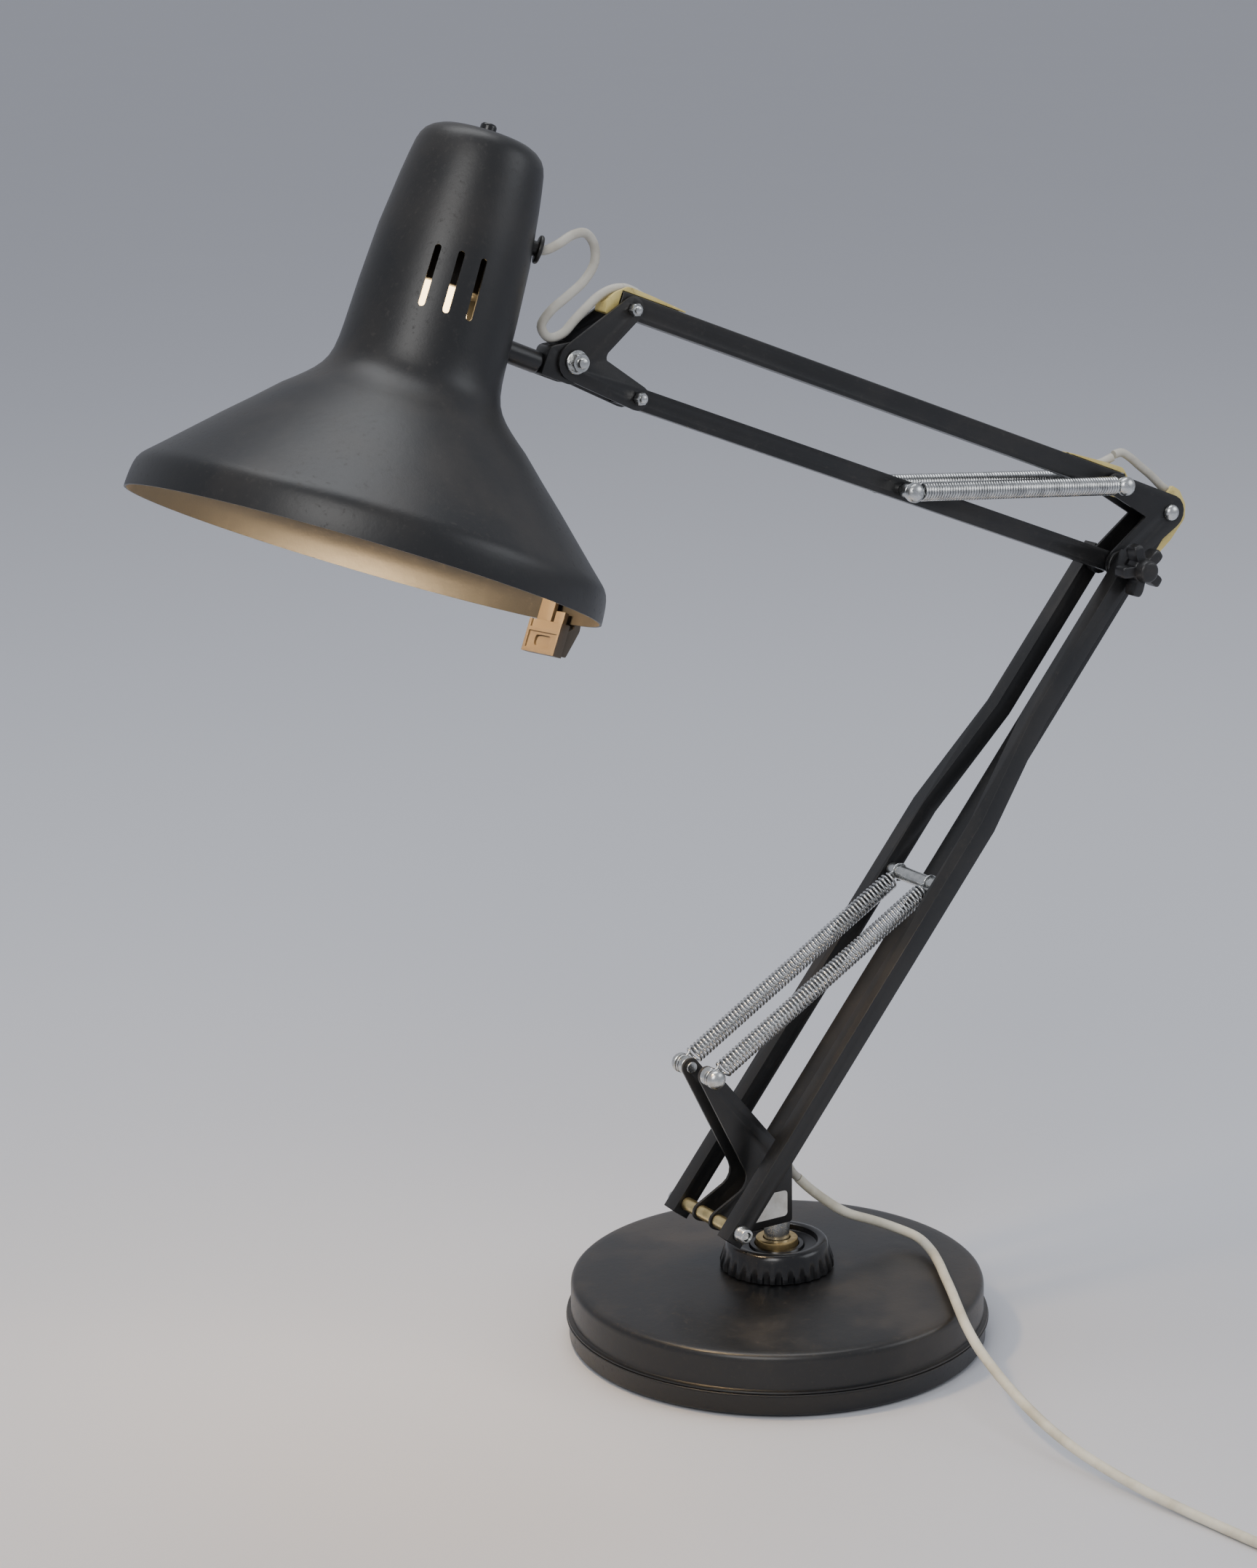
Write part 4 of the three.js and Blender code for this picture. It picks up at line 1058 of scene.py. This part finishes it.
shade = {
    "rim": -110, "steps": 176,
    "outer": [
        (111, 0), (111, 2), (110.8, 5), (110.5, 8), (110, 11), (109.2, 13.6), (107.8, 15.9), (106, 17.8),
        (100.7, 22.8), (92, 31.2), (79.4, 43.4), (68, 54), (57.2, 64.4), (52.4, 68.3), (48.4, 71.8),
        (45, 75.1), (42.2, 78.6), (40.2, 82.2), (38.9, 86.4), (38.1, 92), (37.7, 98), (36.9, 120),
        (35.4, 146), (34, 158), (32.5, 171), (31.2, 180), (30, 187), (28.9, 190.4), (27.4, 192.9),
        (25, 195), (22, 196.5), (16, 197.5), (10, 198), (4.2, 198.2)],
    "inner": [
        (4.2, 197.1), (15, 196.5), (21.4, 195.5), (25.6, 193), (28, 189.6), (29, 186.6), (31.5, 170.5),
        (34.4, 146), (36, 120), (36.7, 98), (37.2, 91.6), (38, 86), (39.5, 81.4), (44.2, 74.6),
        (51.4, 68), (56.5, 63.5), (67.3, 53.2), (78.7, 42.6), (91.2, 30.5), (99.9, 22.1), (105, 17.2),
        (106.9, 15.2), (108.2, 13), (109.2, 9.6), (109.6, 7), (109.9, 3), (110, 0)],
    "ventTurns": (-113, 113), "ventSteps": (-17.3, 0, 17.3),
    "ventWidth": 3, "ventLow": 0.8, "ventHigh": 29.4,
}


def makeShade(s):
    basis = Matrix((stubAlong, shadeSide, shadeUp)).transposed()
    line = [(r, h, 0) for r, h in s["outer"]] + [(r, h, 1) for r, h in s["inner"]]
    work = bmesh.new()
    rings = []
    for r, h, inside in line:
        turns = [2 * math.pi * k / s["steps"] for k in range(s["steps"])]
        rings.append([
            work.verts.new(neckPoint + basis @ mm(r * math.cos(a), r * math.sin(a), h + s["rim"]))
            for a in turns])
    rings.append(rings[0])
    for i, (a, b) in enumerate(zip(rings, rings[1:])):
        for k in range(s["steps"]):
            t = (k + 1) % s["steps"]
            face = work.faces.new((a[k], a[t], b[t], b[k]))
            face.material_index = 1 if i >= len(s["outer"]) else 0
    bmesh.ops.recalc_face_normals(work, faces=work.faces)
    mesh = bpy.data.meshes.new("shadeShell")
    work.to_mesh(mesh)
    work.free()
    piece = addPiece("shadeShell", mesh, [shadeEnamel, lining], "head", ("shade",), edge=50)
    cutter = bmesh.new()
    half, low, high = s["ventWidth"] / 2, s["ventLow"], s["ventHigh"]
    for middle in s["ventTurns"]:
        for step in s["ventSteps"]:
            a = math.radians(middle + step)
            out = math.cos(a) * stubAlong + math.sin(a) * shadeSide
            across = shadeUp.cross(out)
            outline = []
            for k in range(9):
                t = math.pi * k / 8
                outline.append((half * math.cos(t), high - half + half * math.sin(t)))
            for k in range(9):
                t = math.pi + math.pi * k / 8
                outline.append((half * math.cos(t), low + half + half * math.sin(t)))
            loops = []
            for depth in (22, 48):
                loops.append([cutter.verts.new(neckPoint + (depth * out + u * across + w * shadeUp) / 1000)
                              for u, w in outline])
            cutter.faces.new(list(reversed(loops[0])))
            cutter.faces.new(loops[1])
            for k in range(len(outline)):
                t = (k + 1) % len(outline)
                cutter.faces.new((loops[0][k], loops[0][t], loops[1][t], loops[1][k]))
    cordTurn = math.radians(-22)
    cordOut = math.cos(cordTurn) * stubAlong + math.sin(cordTurn) * shadeSide
    for radius, place, out in ((3.9, headAt(0, 0, 46), cordOut), (4.2, neckPoint, stubAlong)):
        hole = turnedMesh("hole", [(0, 22), (radius, 22), (radius, 50), (0, 50)], place, out, 32)
        cutter.from_mesh(hole)
    bmesh.ops.recalc_face_normals(cutter, faces=cutter.faces)
    cutInto(piece, cutter)
    piece.data.set_sharp_from_angle(angle=math.radians(50))


makeShade(shade)

grommet = [(2.9, 31), (3.5, 31), (3.5, 36.1), (6, 36.2), (6.5, 36.5), (6.7, 37.1), (6.6, 37.7),
           (6.1, 38.2), (5.2, 38.4), (3.2, 38.4), (2.9, 38.1), (2.9, 31)]
grommetOut = math.cos(math.radians(-22)) * stubAlong + math.sin(math.radians(-22)) * shadeSide
turned("cordGrommet", "cord_grommet", grommet, headAt(0, 0, 46), grommetOut, holderBlack, 40)
holder = [(0, 44), (14.2, 44), (14.6, 43.6), (14.6, 16.3), (15, 16), (19.1, 16), (19.5, 16.4),
          (19.5, 33.2), (19.2, 33.7), (17.6, 34), (17.4, 34.4), (17.4, 61.6), (17, 62.6), (15.3, 65.6),
          (15, 66.4), (15, 83.6), (14.6, 84.6), (12.6, 86), (12, 86.3), (4.3, 86.3), (4.3, 79), (6.6, 79),
          (6.6, 71), (0, 71)]
turned("lampHolder", "lamp_socket", holder, neckPoint, shadeUp, holderBlack, 64)
glass = [(0, -72.4), (4, -72.2), (9, -71.4), (14, -69.6), (19, -66.4), (23.6, -61.6), (26.6, -56.4),
         (28.8, -50.4), (29.8, -45), (30, -40), (29.6, -34.6), (28, -27.6), (25, -20), (21.4, -12.6),
         (18, -5.6), (15.6, 1), (14.2, 7), (13.4, 12), (13, 20), (12.9, 38), (4, 42), (0, 42)]
turned("bulb", "bulb", glass, neckPoint, shadeUp, opal, 72)
button = [(0, 74), (6, 74), (6, 76), (3.8, 76.2), (3.8, 91.6), (3.6, 92.4), (3, 93), (2, 93.2), (0, 93.2)]
turned("switchButton", "switch_button", button, neckPoint, shadeUp, collarBlack, 40)
refined("clipBody", "clip_body", clipBrown, 0.45, 3)
refined("clipLever", "clip_lever", clipBrown, 0.6, 3)
print("head made")


# ---- light and floor ----

def areaLight(name, place, target, width, height, power, colour):
    data = bpy.data.lights.new(name, "AREA")
    data.shape = "RECTANGLE"
    data.size, data.size_y = width, height
    data.energy, data.color = power, colour
    made = bpy.data.objects.new(name, data)
    made.location = place
    made.rotation_euler = (Vector(target) - Vector(place)).to_track_quat("-Z", "Y").to_euler()
    bpy.context.scene.collection.objects.link(made)
    return made


studio = {
    "sky": (0.60, 0.62, 0.68), "skyPower": 0.75, "floor": (0.60, 0.61, 0.65),
    "key": ((-1.9, -1.7, 2.1), 1.5, 1.5, 42), "fill": ((1.9, -1.6, 1.5), 1.6, 1.2, 14),
    "top": ((0.1, 0.5, 2.6), 1.8, 1.2, 26), "aim": (-0.05, 0, 0.3),
    "bulb": 5.0, "bulbColour": (1, 0.70, 0.38), "bulbRadius": 0.028, "bulbAlong": -78, "floorHalf": 40,
}


def makeStudio(s):
    world = bpy.data.worlds.new("softRoom")
    world.use_nodes = True
    background = world.node_tree.nodes["Background"]
    background.inputs[0].default_value = (*s["sky"], 1)
    background.inputs[1].default_value = s["skyPower"]
    bpy.context.scene.world = world
    for name, colour in (("key", (1, 0.985, 0.96)), ("fill", (0.93, 0.96, 1)), ("top", (0.96, 0.98, 1))):
        place, width, height, power = s[name]
        areaLight(name + "Light", place, s["aim"], width, height, power, colour)
    glow = bpy.data.lights.new("bulbGlow", "POINT")
    glow.energy, glow.color, glow.shadow_soft_size = s["bulb"], s["bulbColour"], s["bulbRadius"]
    lamp = bpy.data.objects.new("bulbGlow", glow)
    lamp.parent = frame["bodies"]["head"]
    bpy.context.scene.collection.objects.link(lamp)
    lamp.matrix_world = Matrix.Translation(headAt(0, 0, s["bulbAlong"]))

    work = bmesh.new()
    size = s["floorHalf"]
    corners = [
        work.verts.new(Vector((x * size, y * size, 0)))
        for x, y in ((-1, -1), (1, -1), (1, 1), (-1, 1))
    ]
    work.faces.new(corners)
    mesh = bpy.data.meshes.new("studioFloor")
    work.to_mesh(mesh)
    work.free()
    floor = bpy.data.objects.new("studioFloor", mesh)
    bpy.context.scene.collection.objects.link(floor)
    f = Finish("floorPaper", Roughness=0.75)
    cloud = f.grain(3, 3, 0.5)
    f.feed(Base_Color=f.mix(cloud * 0.12, s["floor"], tuple(c * 0.85 for c in s["floor"])))
    mesh.materials.append(f.material)


makeStudio(studio)
print("studio lit")
